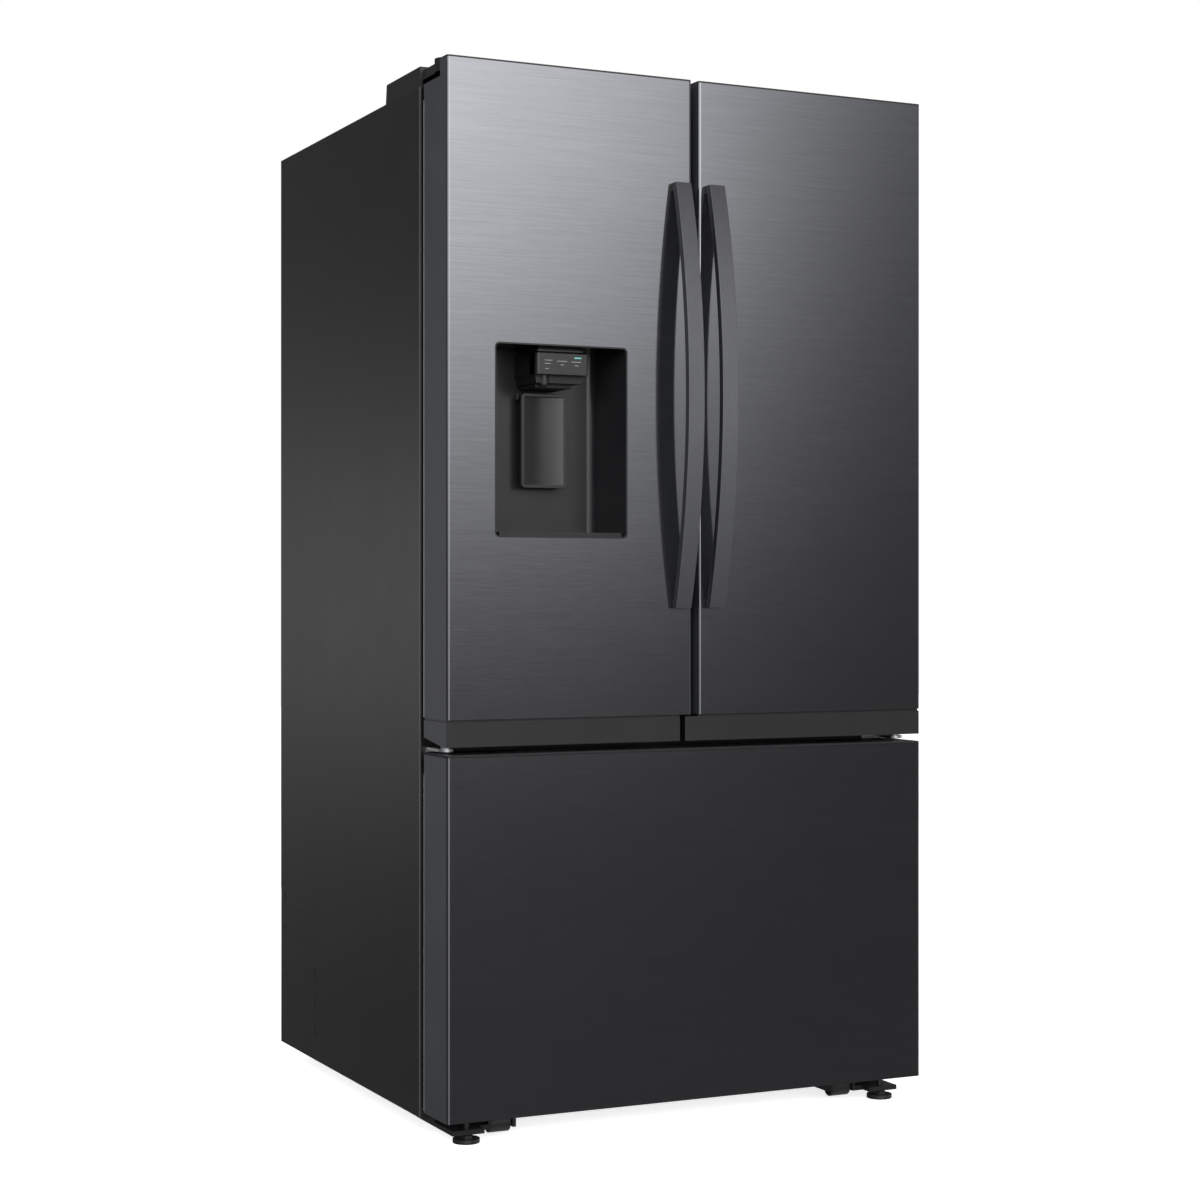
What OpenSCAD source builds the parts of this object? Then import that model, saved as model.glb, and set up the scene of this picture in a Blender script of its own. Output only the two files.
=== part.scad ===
// Free-standing refrigerator: two upper doors, lower freezer drawer, door-mounted dispenser.
// +Z is up, the doors face -Y, the floor is z = 0 and x = 0 is the middle of the cabinet.
// Depths (d) are measured backwards from the door faces.

/* [Overall] */
// Outer width of the cabinet
width = 908; // [908:1:910]
// Height of the doors above the floor
door_top = 1778; // [1778:0.5:1779]
// Depth from the door faces to the back panel
body_depth = 873; // [873:1:875]

/* [Doors and drawer] */
// Thickness of the doors and of the drawer front
leaf_depth = 104; // [104:0.5:104.5]
// Space between the two upper doors
door_gap = 13; // [10:1:14]
// Lower edge of the steel part of the doors
panel_bottom = 698.5; // [698:0.5:699]
// Lower edge of the strip below the doors
strip_bottom = 653.5; // [652:0.5:655]
// Top of the drawer front
drawer_top = 641; // [639:0.5:641]
// Bottom of the drawer front
drawer_bottom = 43; // [43:1:50]
// Radius of the long front edges of the doors
edge_radius = 5; // [4:0.5:8]

/* [Handles] */
// How far the handles stand out from the doors
handle_stand = 62.5; // [55:0.5:65]
// Width of a handle bar
handle_width = 30; // [24:1:32]
// Thickness of a handle bar
handle_thick = 13.5; // [10:0.5:15]
// Lower end of the handles
handle_low = 879.5; // [870:0.5:890]
// Upper end of the handles
handle_high = 1600; // [1590:1:1610]

/* [Dispenser] */
// Left edge of the dispenser opening from the left side of the cabinet
niche_left = 86.5; // [86:0.5:87]
// Width of the dispenser opening
niche_width = 237; // [236:0.5:238]
// Lower edge of the dispenser opening
niche_low = 998.5; // [998:0.5:999]
// Upper edge of the dispenser opening
niche_high = 1314; // [1313:0.5:1315]

/* [Hidden] */
$fn = 48;
half = width / 2;
total_depth = body_depth + handle_stand;
front = -total_depth / 2 + handle_stand;
steel = 1.5;             // cabinet and door sheet
skin = 2;                // moulded liner wall
gasket_gap = 14.5;
face = leaf_depth + gasket_gap;          // front face of the cabinet
case_low = 30;
case_top = 1749;
wall = 45;               // insulated side wall
inner_half = half - wall;
flange = 20;
foam_low = 68;
fridge_low = 700;
fridge_high = 1700;
fridge_back = 815;
ice_low = 110;           // freezer compartment
ice_high = 600;
ice_back = 610;
coil_back = 800;
coil_low = 360;
engine_top = 330;        // machine compartment
engine_front = 640;
half_gap = door_gap / 2;
pivot_x = half - 20;
hinge_half = 14;
mid_hinge_z = 644;
cover_top = 1782;        // hinge covers and their round caps
cap_low = 1760;
cap_r = 19;
pivot_d = 54;
pin_r = 5;
run = 0.05;              // radial clearance of a running fit
notch_x = 46;            // hinge notch in the top corner of each door
notch_d = 30;
notch_z = 1748;
corner_low = 1722;
groove = 3.5;            // dark groove between a door and the strip below it
strip_top = panel_bottom - groove;
strip_rise = 12;         // the underside of a strip slopes up towards the rear
left_strip_end = -27;
right_strip_end = -17;   // the right strip reaches under the left door
cap_plate = 4;           // thickness of the plate on top of the drawer
grip_low = drawer_top - 36;
grip_floor = 6;
grip_front = 70;         // grip channel: depths of its two walls
grip_back = leaf_depth - 8;
grip_half = 300;
seam = 0.2;              // hairline between mouldings
seal_low = 672;
seal_high = 1741;
ring_out = 52;           // ring on the back of each door, from the cabinet side
ring_in = 72;            // and from the middle
ring_wide = 24;
ring_d = 160;
ring_low = 715;
ring_high = 1690;
niche_x0 = niche_left - half;
niche_x1 = niche_x0 + niche_width;
niche_deep = 104;
niche_taper = 12;        // how far each side wall closes in towards the back
niche_bend = 14;         // radius of the upright rear corners
niche_wall = 2.5;
head_x = 211 - half;     // middle of the dispenser head
head_half = 47.2;
head_face = 10;
head_low = 1268;
head_high = 1302.5;
nozzle_x = head_x - 27;
nozzle_d = 28;
nozzle_r = 9.1;
paddle_x = 208 - half;
paddle_half = 42;
paddle_d = 78;
paddle_pin_d = 94;
paddle_pin_z = 1235;
foot_x = 400;
foot_d = 50;
front_roller_d = 82;
rear_roller_d = 800;
axle_r = 4;
shelf_z = 1290;          // tops of the ledges in the fridge compartment
cover_z = 988;
crisper_rim = 905;
pantry_rim = 760;
rim = 3.5;

// ---------- shared shapes ----------

// A box from low to high limits in x, depth and height.
module slab(x0, x1, d0, d1, z0, z1) {
    translate([x0, front + d0, z0]) cube([x1 - x0, d1 - d0, z1 - z0]);
}

// The children and their mirror image across the middle of the cabinet.
module both_sides() {
    children();
    mirror([1, 0, 0]) children();
}

// Upright round bar at x and depth d.
module post(x, d, z0, z1, r) {
    translate([x, front + d, z0]) cylinder(h = z1 - z0, r = r);
}

// Round bar along X.
module bar_x(x0, x1, d, z, r) {
    translate([x0, front + d, z]) rotate([0, 90, 0]) cylinder(h = x1 - x0, r = r);
}

// Round bar along Y.
module bar_y(x, d0, d1, z, r) {
    translate([x, front + d0, z]) rotate([-90, 0, 0]) cylinder(h = d1 - d0, r = r);
}

// Plan outline with rounded corners at its front edge.
module leaf_plan(x0, x1, d0, d1, r) {
    translate([x0, front + d0 + r]) square([x1 - x0, d1 - d0 - r]);
    translate([x0 + r, front + d0]) square([x1 - x0 - 2 * r, r]);
    translate([x0 + r, front + d0 + r]) circle(r = r);
    translate([x1 - r, front + d0 + r]) circle(r = r);
}

// Solid with rounded upright front edges.
module leaf(x0, x1, d0, d1, z0, z1, r) {
    translate([0, 0, z0]) linear_extrude(height = z1 - z0) leaf_plan(x0, x1, d0, d1, r);
}

// Box with rounded corners seen from the front.
module window(x0, x1, d0, d1, z0, z1, r) {
    slab(x0 + r, x1 - r, d0, d1, z0, z1);
    slab(x0, x1, d0, d1, z0 + r, z1 - r);
    for (x = [x0 + r, x1 - r], z = [z0 + r, z1 - r]) bar_y(x, d0, d1, z, r);
}

// Open-topped tub with a flat floor.
module tub(x0, x1, d0, d1, z0, z1, t) {
    difference() {
        slab(x0, x1, d0, d1, z0, z1);
        slab(x0 + t, x1 - t, d0 + t, d1 - t, z0 + t, z1 + 1);
    }
}

// Flat ring in the plane of the doors.
module ring(x0, x1, d0, d1, z0, z1, w) {
    difference() {
        slab(x0, x1, d0, d1, z0, z1);
        slab(x0 + w, x1 - w, d0 - 1, d1 + 1, z0 + w, z1 - w);
    }
}

// ---------- cabinet ----------

// Pressed panels on the lower rear of each side: two long slots and three short ones.
module side_embosses() {
    depth = 0.7;
    for (z = [[245, 263], [299, 322]]) slab(-half - 1, -half + depth, 630, 846, z[0], z[1]);
    for (z = [[77, 95], [129, 148], [179, 200]])
        slab(-half - 1, -half + depth, 621, 667, z[0], z[1]);
}

module cabinet_shell() {
    color("#2b2d2e") difference() {
        leaf(-half, half, face, body_depth - 3, case_low, case_top, 3);
        slab(-half + steel, half - steel, face + steel, body_depth, case_low - 1, case_top - steel);
        slab(-half + flange, half - flange, face - 1, body_depth, case_low - 1, case_top - flange);
        both_sides() side_embosses();
    }
}

module cabinet_foam() {
    gap = inner_half + skin;
    color("#e8dfb8") difference() {
        slab(-half + steel, half - steel, face + steel, body_depth - 3, foam_low, case_top - steel);
        slab(-gap, gap, face, fridge_back + skin, fridge_low - skin, fridge_high + skin);
        slab(-gap, gap, face, ice_back + skin, ice_low - skin, ice_high + skin);
        slab(-gap, gap, ice_back, coil_back + skin, coil_low - skin, ice_high + skin);
        slab(-half, half, engine_front, body_depth, foam_low - 1, engine_top);
        slab(-half + flange, half - flange, face, face + 18, 622, 682);
    }
}

module fridge_liner() {
    color("#eef0f1") {
        difference() {
            union() {
                slab(-inner_half - skin, inner_half + skin, face, fridge_back + skin,
                    fridge_low - skin, fridge_high + skin);
                slab(-half + flange, half - flange, face, face + steel, 690, case_top - flange);
            }
            slab(-inner_half, inner_half, face - 1, fridge_back, fridge_low, fridge_high);
            light_recess();
        }
        // ledges that carry the shelves and the sliding drawers
        both_sides() for (z = [shelf_z, cover_z, crisper_rim, pantry_rim])
            slab(-inner_half - 0.5, -inner_half + 6, 320, 760, z - 10, z);
        // air column in the middle of the back wall
        difference() {
            slab(-70, 70, fridge_back - 14, fridge_back + 0.5, 1010, 1640);
            for (k = [0:7], s = [-1, 1])
                slab(s * 36 - 22, s * 36 + 22, fridge_back - 15, fridge_back - 8,
                    1060 + 72 * k, 1072 + 72 * k);
        }
    }
}

module light_recess() {
    slab(-150, 150, 330, 400, fridge_high - 1, fridge_high + 1.5);
}

module light_lens() {
    color("#f6f7f2") {
        slab(-148, 148, 332, 398, fridge_high - 5, fridge_high + 1);
        for (k = [-6:6]) slab(k * 22 - 2, k * 22 + 2, 334, 396, fridge_high - 6.5, fridge_high - 4.5);
    }
}

module freezer_liner() {
    color("#e9ebec") {
        difference() {
            union() {
                slab(-inner_half - skin, inner_half + skin, face, ice_back + skin,
                    ice_low - skin, ice_high + skin);
                slab(-inner_half - skin, inner_half + skin, ice_back, coil_back + skin,
                    coil_low - skin, ice_high + skin);
                slab(-half + flange, half - flange, face, face + steel, foam_low, 612);
            }
            slab(-inner_half, inner_half, face - 1, ice_back, ice_low, ice_high);
            slab(-inner_half, inner_half, ice_back - 1, coil_back, coil_low, ice_high);
        }
    }
}

// Steel box rail across the front between the two compartments.
module mullion_rail() {
    color("#8f9395") difference() {
        union() {
            slab(-half + flange, half - flange, face, face + steel, 612, 690);
            slab(-half + flange, half - flange, face, face + 18, 622, 682);
        }
        slab(-half + flange + 3, half - flange - 3, face + steel, face + 19, 624, 680);
    }
}

module back_panel() {
    color("#9a9da0") {
        slab(-half, half, body_depth - 3, body_depth - 1.5, engine_top, case_top);
        for (k = [-2:2]) slab(k * 160 - 12, k * 160 + 12, body_depth - 2, body_depth,
            engine_top + 70, case_top - 70);
    }
}

module machine_cover() {
    color("#6f7376") difference() {
        union() {
            slab(-440, 440, body_depth - 5, body_depth - 3, 36, engine_top - 2);
            // inlet for the supply lead and the water port
            slab(-400, -352, body_depth - 16, body_depth - 1, 240, 276);
            bar_y(390, body_depth - 14, body_depth - 1, 250, 13);
        }
        slab(-393, -359, body_depth - 12, body_depth, 247, 269);
        bar_y(390, body_depth - 15, body_depth, 250, 8);
        for (k = [0:15], z = [80, 130, 180])
            slab(-300 + k * 38, -276 + k * 38, body_depth - 6, body_depth - 2, z, z + 26);
    }
}

// Welded steel chassis with the foot plates and the roller brackets.
module base_frame() {
    color("#3a3c3e") difference() {
        union() {
            slab(-half + steel, half - steel, face + steel, engine_front, foam_low - 2, foam_low);
            slab(-half + steel, half - steel, face + steel, face + 5, case_low, foam_low - 2);
            slab(-half + steel, half - steel, face + steel, 200, case_low, case_low + 3);
            slab(-half + steel, half - steel, 560, 563, 43, foam_low - 2);
            slab(-half + steel, half - steel, 560, 862, 43, 45);
            both_sides() {
                slab(-429, -372, 38, 200, 14, 22);
                slab(-429, -372, 121, 200, 22, case_low);
                slab(-372, -356, 60, 200, 14, 22);
                slab(-356, -350, 60, 200, 14, 28);
                slab(-312, -306, 60, 200, 14, 28);
                slab(-350, -306, 160, 200, 14, 22);
                slab(-350, -306, 121, 200, 22, case_low);
                bar_x(-356, -306, front_roller_d, 21, axle_r);
                for (x = [-400, -364]) slab(x, x + 4, 778, 822, 14, 43);
                bar_x(-400, -360, rear_roller_d, 20, axle_r);
            }
        }
        both_sides() post(-foot_x, foot_d, 13, 23, pin_r + run);
    }
}

// Levelling foot: pad, nut and stem.
module foot(s) {
    color("#303234") {
        post(s * foot_x, foot_d, 0, 7, 22.5);
        translate([s * foot_x, front + foot_d, 6.5]) cylinder(h = 5.5, r = 12, $fn = 6);
        post(s * foot_x, foot_d, 11, 36, pin_r);
    }
}

module foot_left() { foot(-1); }
module foot_right() { foot(1); }

module roller_pair(x0, x1, d, z, r, bore) {
    color("#26282a") both_sides() difference() {
        bar_x(x0, x1, d, z, r);
        bar_x(x0 - 1, x1 + 1, d, z, bore);
        for (s = [x0 - 1, x1 - 4]) difference() {
            bar_x(s, s + 5, d, z, r - 4);
            bar_x(s - 1, s + 6, d, z, bore + 3);
        }
    }
}

module front_rollers() { roller_pair(-349, -313, front_roller_d, 21, 17, axle_r + run); }
module rear_rollers() { roller_pair(-394, -366, rear_roller_d, 20, 20, axle_r + run); }

// ---------- hinges ----------

// Flat arm from the case to a round eye about the hinge axis.
module hinge_arm(end, z0, z1) {
    slab(-pivot_x - hinge_half, -pivot_x + hinge_half, pivot_d, end, z0, z1);
    post(-pivot_x, pivot_d, z0, z1, hinge_half);
}

module top_hinges() {
    color("#b9bcbe") both_sides() {
        hinge_arm(130, case_top, case_top + 4);
        slab(-pivot_x - hinge_half, -pivot_x + 34, 128, 262, case_top, case_top + 4);
        post(-pivot_x, pivot_d, corner_low + 3, case_top + 1, pin_r);
        for (d = [160, 235]) post(-pivot_x + 18, d, case_top + 3, case_top + 10, 7);
    }
}

module mid_hinges() {
    color("#b9bcbe") both_sides() {
        hinge_arm(face, mid_hinge_z, mid_hinge_z + 5);
        slab(-pivot_x - hinge_half, -pivot_x + 29, face - 3, face, mid_hinge_z - 16,
            mid_hinge_z + 5);
        post(-pivot_x, pivot_d, mid_hinge_z + 4, strip_bottom - 0.4, 9);
        post(-pivot_x, pivot_d, mid_hinge_z + 4, 678, pin_r);
    }
}

// Side outline of the hinge cover, with a raked rear edge.
module cover_side(x, w, front_d, rear_d, low, high) {
    translate([x, 0, 0]) rotate([90, 0, 90]) linear_extrude(height = w)
        polygon([[front + front_d, low], [front + rear_d, low], [front + rear_d - 4, high],
            [front + front_d, high]]);
}

// Cover over the plate on the case, with an arm out to a round cap above the hinge pin.
module hinge_cover() {
    t = 2.5;
    w = 62;
    cover_d = face + 1.5;
    arm = 15;
    color("#3a3d3f") difference() {
        union() {
            cover_side(-half, w, cover_d, 284, case_top, cover_top);
            cover_side(-pivot_x - arm, 2 * arm, pivot_d, cover_d + 6, cap_low, cover_top - 6);
            post(-pivot_x, pivot_d, cap_low, cover_top, cap_r);
        }
        slab(-half + t, -half + w - t, cover_d + t, 278, case_top - 1, cover_top - t);
        slab(-pivot_x - arm + t, -pivot_x + arm - t, pivot_d, cover_d + t + 1, cap_low - 1,
            cover_top - 6 - t);
        slab(-pivot_x - hinge_half - 0.5, -pivot_x + hinge_half + 0.5, cover_d - 1,
            cover_d + t + 1, case_top - 1, cap_low + 1);
        post(-pivot_x, pivot_d, cap_low - 1, cover_top - t, cap_r - t);
    }
}

module hinge_cover_left() { hinge_cover(); }
module hinge_cover_right() { mirror([1, 0, 0]) hinge_cover(); }

// ---------- machine compartment ----------

module compressor() {
    color("#1f2022") translate([-250, front + 750, 0]) {
        rotate_extrude() polygon([[0, 62], [70, 62], [84, 80], [84, 150], [78, 176], [55, 196],
            [20, 204], [0, 204]]);
        for (x = [-78, 78], y = [-62, 62]) translate([x, y, 45]) cylinder(h = 14, r = 13);
        translate([-92, -76, 59]) cube([184, 152, 4]);
        translate([60, -20, 100]) cube([40, 40, 50]);
        translate([0, 0, 190]) cylinder(h = 70, r = 5);
    }
}

// Fin-and-tube block: flat fins across round tubes that run along X.
module coil(x0, x1, d0, d1, z0, z1, fins, rows, cols, r) {
    pitch = (x1 - x0 - 30) / (fins - 1);
    for (k = [0:fins - 1])
        slab(x0 + 15 + k * pitch - 0.6, x0 + 15 + k * pitch + 0.6, d0, d1, z0, z1);
    for (i = [0:rows - 1], j = [0:cols - 1])
        bar_x(x0, x1, d0 + (d1 - d0) * (j + 0.5) / cols, z0 + (z1 - z0) * (i + 0.5) / rows, r);
    for (x = [x0, x1 - 3]) slab(x, x + 3, d0, d1, z0, z1);
}

module condenser() {
    color("#8b8f91") {
        coil(60, 330, 690, 810, 66, 236, 14, 4, 3, 4);
        // bracket that carries the fan motor
        slab(52, 60, 690, 700, 60, 236);
        slab(52, 60, 800, 810, 60, 236);
        slab(52, 60, 690, 810, 145, 157);
        bar_x(26, 60, 750, 151, 20);
        bar_x(0, 30, 750, 151, 3);
    }
}

module drain_pan() {
    color("#3d4043") tub(-120, 345, 670, 842, 46, 64, 2.5);
}

// Four-bladed fan on a bore along X, centred on the origin.
module fan_x(r, hub, wide, bore) {
    difference() {
        union() {
            rotate([0, 90, 0]) cylinder(h = wide, r = hub, center = true);
            for (a = [0:90:270]) rotate([a, 0, 0]) rotate([0, 0, 28])
                translate([-1.2, -hub * 0.7, 0]) translate([0, 0, hub * 0.6])
                cube([2.4, hub * 1.4, r - hub * 0.6]);
        }
        rotate([0, 90, 0]) cylinder(h = wide + 2, r = bore, center = true);
    }
}

module condenser_fan() {
    color("#55585a") translate([14, front + 750, 151]) fan_x(72, 18, 18, 3 + run);
}

module evaporator() {
    color("#c7cacb") coil(-250, 250, 712, 782, 380, 560, 16, 5, 2, 4);
}

module evaporator_fan() {
    color("#dfe1e2") translate([0, front + 636, 520]) rotate([0, 0, 90]) fan_x(50, 16, 16, 3 + run);
}

module evaporator_cover() {
    color("#e9ebec") {
        difference() {
            slab(-inner_half, inner_half, 598, 601, ice_low + 40, ice_high);
            bar_y(0, 590, 610, 520, 58);
            for (k = [-5:5], z = [185, 215, 245])
                slab(k * 60 - 22, k * 60 + 22, 590, 610, z, z + 10);
        }
        // grille bars, motor and shaft of the fan
        difference() {
            slab(-60, 60, 598, 601, 515, 525);
            bar_y(0, 590, 610, 520, 10);
        }
        slab(-5, 5, 598, 601, 460, 511);
        slab(-5, 5, 598, 601, 529, 580);
        bar_y(0, 598, 622, 520, 14);
        bar_y(0, 620, 648, 520, 3);
    }
}

// ---------- fridge compartment ----------

module glass_shelf(x0, x1, d0, d1, z) {
    color("#cfdfe0") {
        slab(x0 + 8, x1 - 8, d0 + 8, d1 - 8, z + 6, z + 10);
        difference() {
            slab(x0, x1, d0, d1, z, z + 14);
            slab(x0 + 12, x1 - 12, d0 + 12, d1 - 12, z - 1, z + 15);
        }
    }
}

module shelf_left() { glass_shelf(-inner_half + 1, -3, 250, 775, shelf_z); }
module shelf_right() { glass_shelf(3, inner_half - 1, 250, 775, shelf_z); }
module crisper_shelf() {
    glass_shelf(-inner_half + 1, inner_half - 1, 290, 790, cover_z);
    // middle support with a foot that carries the inner rims of the crispers
    color("#cfdfe0") {
        slab(-4, 4, 314, 780, crisper_rim - 5, cover_z + 1);
        slab(-10, 10, 320, 780, crisper_rim - 5, crisper_rim);
    }
}

module water_filter() {
    color("#f4f5f6") {
        bar_y(-300, 420, 640, fridge_high - 42, 34);
        bar_y(-300, 405, 421, fridge_high - 42, 28);
        slab(-318, -282, 430, 640, fridge_high - 30, fridge_high);
        slab(-306, -294, 396, 406, fridge_high - 66, fridge_high - 18);
    }
}

// See-through drawer with a thicker front and side rims to slide on, drawn for the left side.
module crisper() {
    x0 = -inner_half + 14;
    x1 = -11;
    color("#d5e3e6") {
        tub(x0, x1, 312, 745, 848, 968, 3);
        slab(x0 - 5, x1 + 5, 300, 312.5, 844, 972);
        slab(x0 + 14, x1 - 14, 292, 301, 950, 962);
        slab(-inner_half + 0.7, x0 + 1, 330, 745, crisper_rim + 0.5, crisper_rim + rim);
        slab(x1 - 1, -4.7, 330, 745, crisper_rim + 0.5, crisper_rim + rim);
    }
}

module crisper_left() { crisper(); }
module crisper_right() { mirror([1, 0, 0]) crisper(); }

module pantry_drawer() {
    color("#d5e3e6") {
        tub(-inner_half + 12, inner_half - 12, 312, 780, 712, 820, 3);
        slab(-inner_half + 9, inner_half - 9, 300, 312.5, 708, 828);
        slab(-200, 200, 292, 301, 802, 814);
        both_sides() slab(-inner_half + 0.7, -inner_half + 13, 330, 780, pantry_rim + 0.5,
            pantry_rim + rim);
    }
}

// ---------- doors ----------

module top_notch(s, extra) {
    mirror([s > 0 ? 1 : 0, 0, 0])
        slab(-half - 1, -half + notch_x + extra, notch_d - extra, leaf_depth + 1,
            notch_z, door_top + 1);
}

// Block with rounded corners that the dispenser niche takes up.
module niche_block(grow) {
    window(niche_x0 - grow, niche_x1 + grow, -1, niche_deep + grow, niche_low - grow,
        niche_high + grow, 6 + grow);
}

module door_skin(x0, x1, s) {
    color("#5c5e61") difference() {
        leaf(x0, x1, 0, leaf_depth - steel, panel_bottom, door_top - 3, edge_radius);
        leaf(x0 + steel, x1 - steel, steel, leaf_depth, panel_bottom - 1, door_top,
            edge_radius - steel);
        top_notch(s, 0);
        if (s < 0) niche_block(niche_wall);
    }
}

module left_door_skin() { door_skin(-half, -half_gap, -1); }
module right_door_skin() { door_skin(half_gap, half, 1); }

// Hinge corner block of the top cap, drawn for the left door.
module cap_corner() {
    difference() {
        union() {
            slab(-half + steel, -half + notch_x + 2, notch_d - 2, leaf_depth - steel, corner_low,
                notch_z);
            slab(-half + notch_x, -half + notch_x + 2, notch_d - 2, leaf_depth - steel,
                notch_z - 1, door_top - 3);
            slab(-half + steel, -half + notch_x + 1, notch_d - 2, notch_d, notch_z - 1,
                door_top - 3);
        }
        post(-pivot_x, pivot_d, corner_low - 1, notch_z + 1, pin_r + run);
    }
}

// Wedge below a strip, for the slope of its underside.
module strip_slope() {
    slope_d = 20;
    rear = front + leaf_depth + 1;
    translate([-half - 1, 0, 0]) rotate([90, 0, 90]) linear_extrude(height = 2 * half + 2)
        polygon([
            [front + slope_d, strip_bottom],
            [rear, strip_bottom + strip_rise],
            [rear, strip_bottom - 1],
            [front + slope_d, strip_bottom - 1],
        ]);
}

module door_caps(x0, x1, strip0, strip1, s) {
    color("#46484a") {
        // upper cap with its hinge pocket
        difference() {
            leaf(x0, x1, 0, leaf_depth, door_top - 3, door_top, edge_radius);
            top_notch(s, 0);
        }
        mirror([s > 0 ? 1 : 0, 0, 0]) cap_corner();
        // set-back groove plate and the lower strip
        difference() {
            union() {
                slab(max(x0 + 2, strip0), min(x1 - 2, strip1), 5.5, leaf_depth, strip_top - 1,
                    panel_bottom);
                slab(strip0, strip1, 3.5, leaf_depth, strip_bottom, strip_top);
            }
            strip_slope();
            slab(x0 + 60, x1 - 60, 9, leaf_depth - 5, strip_bottom - 1, panel_bottom - 9);
            post(s * pivot_x, pivot_d, strip_bottom - 1, 682, pin_r + run);
        }
    }
}

module left_door_caps() { door_caps(-half, -half_gap, -half, left_strip_end, -1); }
module right_door_caps() { door_caps(half_gap, half, right_strip_end, half, 1); }

// Insulated core and white moulded back of a door, with the raised ring that holds the bins.
module door_inner(x0, x1, s) {
    r0 = s < 0 ? -half + ring_out : ring_in;
    r1 = s < 0 ? -ring_in : half - ring_out;
    difference() {
        union() {
            leaf(x0 + steel, x1 - steel, steel, leaf_depth - steel, panel_bottom, door_top - 3,
                edge_radius);
            slab(x0, x1, leaf_depth - steel, leaf_depth, panel_bottom, door_top - 3);
            ring(r0, r1, leaf_depth - 1, ring_d, ring_low, ring_high, ring_wide);
        }
        mirror([s > 0 ? 1 : 0, 0, 0])
            slab(-half - 1, -half + notch_x + 2, notch_d - 2, leaf_depth + 1, corner_low,
                door_top);
    }
}

module left_door_inner() {
    color("#eef0f1") {
        difference() {
            union() {
                door_inner(-half, -half_gap, -1);
                slab(niche_x0 - 16, niche_x1 + 16, leaf_depth - 1, 140, 960, 1330);
            }
            niche_block(niche_wall);
        }
        // ears of the folding strip
        for (z = [724, 1676]) difference() {
            slab(-58, -34, leaf_depth - 1, 136, z, z + 6);
            post(-45, 128.5, z - 1, z + 7, 3 + run);
        }
    }
}

module right_door_inner() { color("#eef0f1") door_inner(half_gap, half, 1); }

// The corner is relieved where it swings past the end of the right-hand strip.
module left_gasket() {
    color("#8d9092") difference() {
        ring(-pivot_x, -half_gap - 1.5, leaf_depth, face - 0.3, seal_low, seal_high, 20);
        slab(right_strip_end - 6, 0, leaf_depth - 1, face, seal_low - 1, strip_top + 1.5);
    }
}

module right_gasket() {
    color("#8d9092")
        ring(1.5, pivot_x, leaf_depth, face - 0.3, seal_low, seal_high, 22);
}

// Folding strip that closes the space between the doors.
module flipper_mullion() {
    color("#dfe1e2") {
        translate([0, 0, 731]) linear_extrude(height = 944) {
            translate([-45, front + 128.5]) circle(r = 10);
            polygon([[-45, front + 118.5], [-3, front + 118.5], [-10, front + 138.5],
                [-45, front + 138.5]]);
        }
        post(-45, 128.5, 725, 732, 3);
        post(-45, 128.5, 1674, 1681, 3);
    }
}

// Bowed flat bar, cut square at both ends.
module handle(x0) {
    rise = (handle_high - handle_low) / 2;
    bow = handle_stand - handle_thick;
    radius = (rise * rise + bow * bow) / (2 * bow);
    middle = handle_low + rise;
    centre = front - bow + radius;
    color("#6b6e71") translate([x0, 0, 0]) rotate([90, 0, 90])
        linear_extrude(height = handle_width) difference() {
            intersection() {
                translate([centre, middle]) circle(r = radius + handle_thick, $fn = 400);
                translate([front - handle_stand - 1, handle_low])
                    square([handle_stand + 1, 2 * rise]);
            }
            intersection() {
                translate([centre, middle]) circle(r = radius, $fn = 400);
                translate([front - handle_stand - 1, handle_low + 14])
                    square([handle_stand + 2, 2 * rise - 28]);
            }
        }
}

module left_handle() { handle(-44); }
module right_handle() { handle(20.5); }

module door_bin(x0, x1, d1, z0, z1) {
    color("#dbe6e8") {
        tub(x0, x1, leaf_depth + 0.5, d1, z0, z1, 3);
        slab(x0, x1, d1 - 3, d1 + 2, z1 - 24, z1 + 6);
    }
}

module left_bin() { door_bin(-half + ring_out + ring_wide, -ring_in - ring_wide, 162, 745, 860); }
module right_bin_lower() {
    door_bin(ring_in + ring_wide, half - ring_out - ring_wide, 215, 1040, 1150);
}
module right_bin_upper() {
    door_bin(ring_in + ring_wide, half - ring_out - ring_wide, 215, 1380, 1490);
}

// Ice maker with its bin and a framed lid, above the dispenser.
module ice_maker() {
    x0 = -half + ring_out + ring_wide;
    x1 = -ring_in - ring_wide;
    color("#f1f2f3") {
        difference() {
            slab(x0, x1, leaf_depth + 0.5, 228, 1345, 1655);
            slab(x0 + 5, x1 - 5, leaf_depth + 5, 223, 1350, 1650);
        }
        slab(x0 + 10, x1 - 10, 227, 231, 1355, 1645);
        slab(x1 - 60, x1 - 30, 230, 236, 1480, 1520);
        tub(x0 + 20, x1 - 20, leaf_depth + 20, 215, 1349.5, 1480, 3);
        slab(x0 + 20, x1 - 20, leaf_depth + 20, 180, 1560, 1650.5);
    }
}

// ---------- dispenser ----------

// Plan of the niche: side walls close in towards the back, into rounded rear corners.
module niche_plan() {
    bend_y = front + niche_deep - niche_bend;
    in0 = niche_x0 + niche_taper;
    in1 = niche_x1 - niche_taper;
    polygon([[niche_x0, front - 1], [niche_x1, front - 1], [niche_x1, front + 4], [in1, bend_y],
        [in1 - niche_bend, bend_y + niche_bend], [in0 + niche_bend, bend_y + niche_bend],
        [in0, bend_y], [niche_x0, front + 4]]);
    for (x = [in0 + niche_bend, in1 - niche_bend]) translate([x, bend_y]) circle(r = niche_bend);
}

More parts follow.
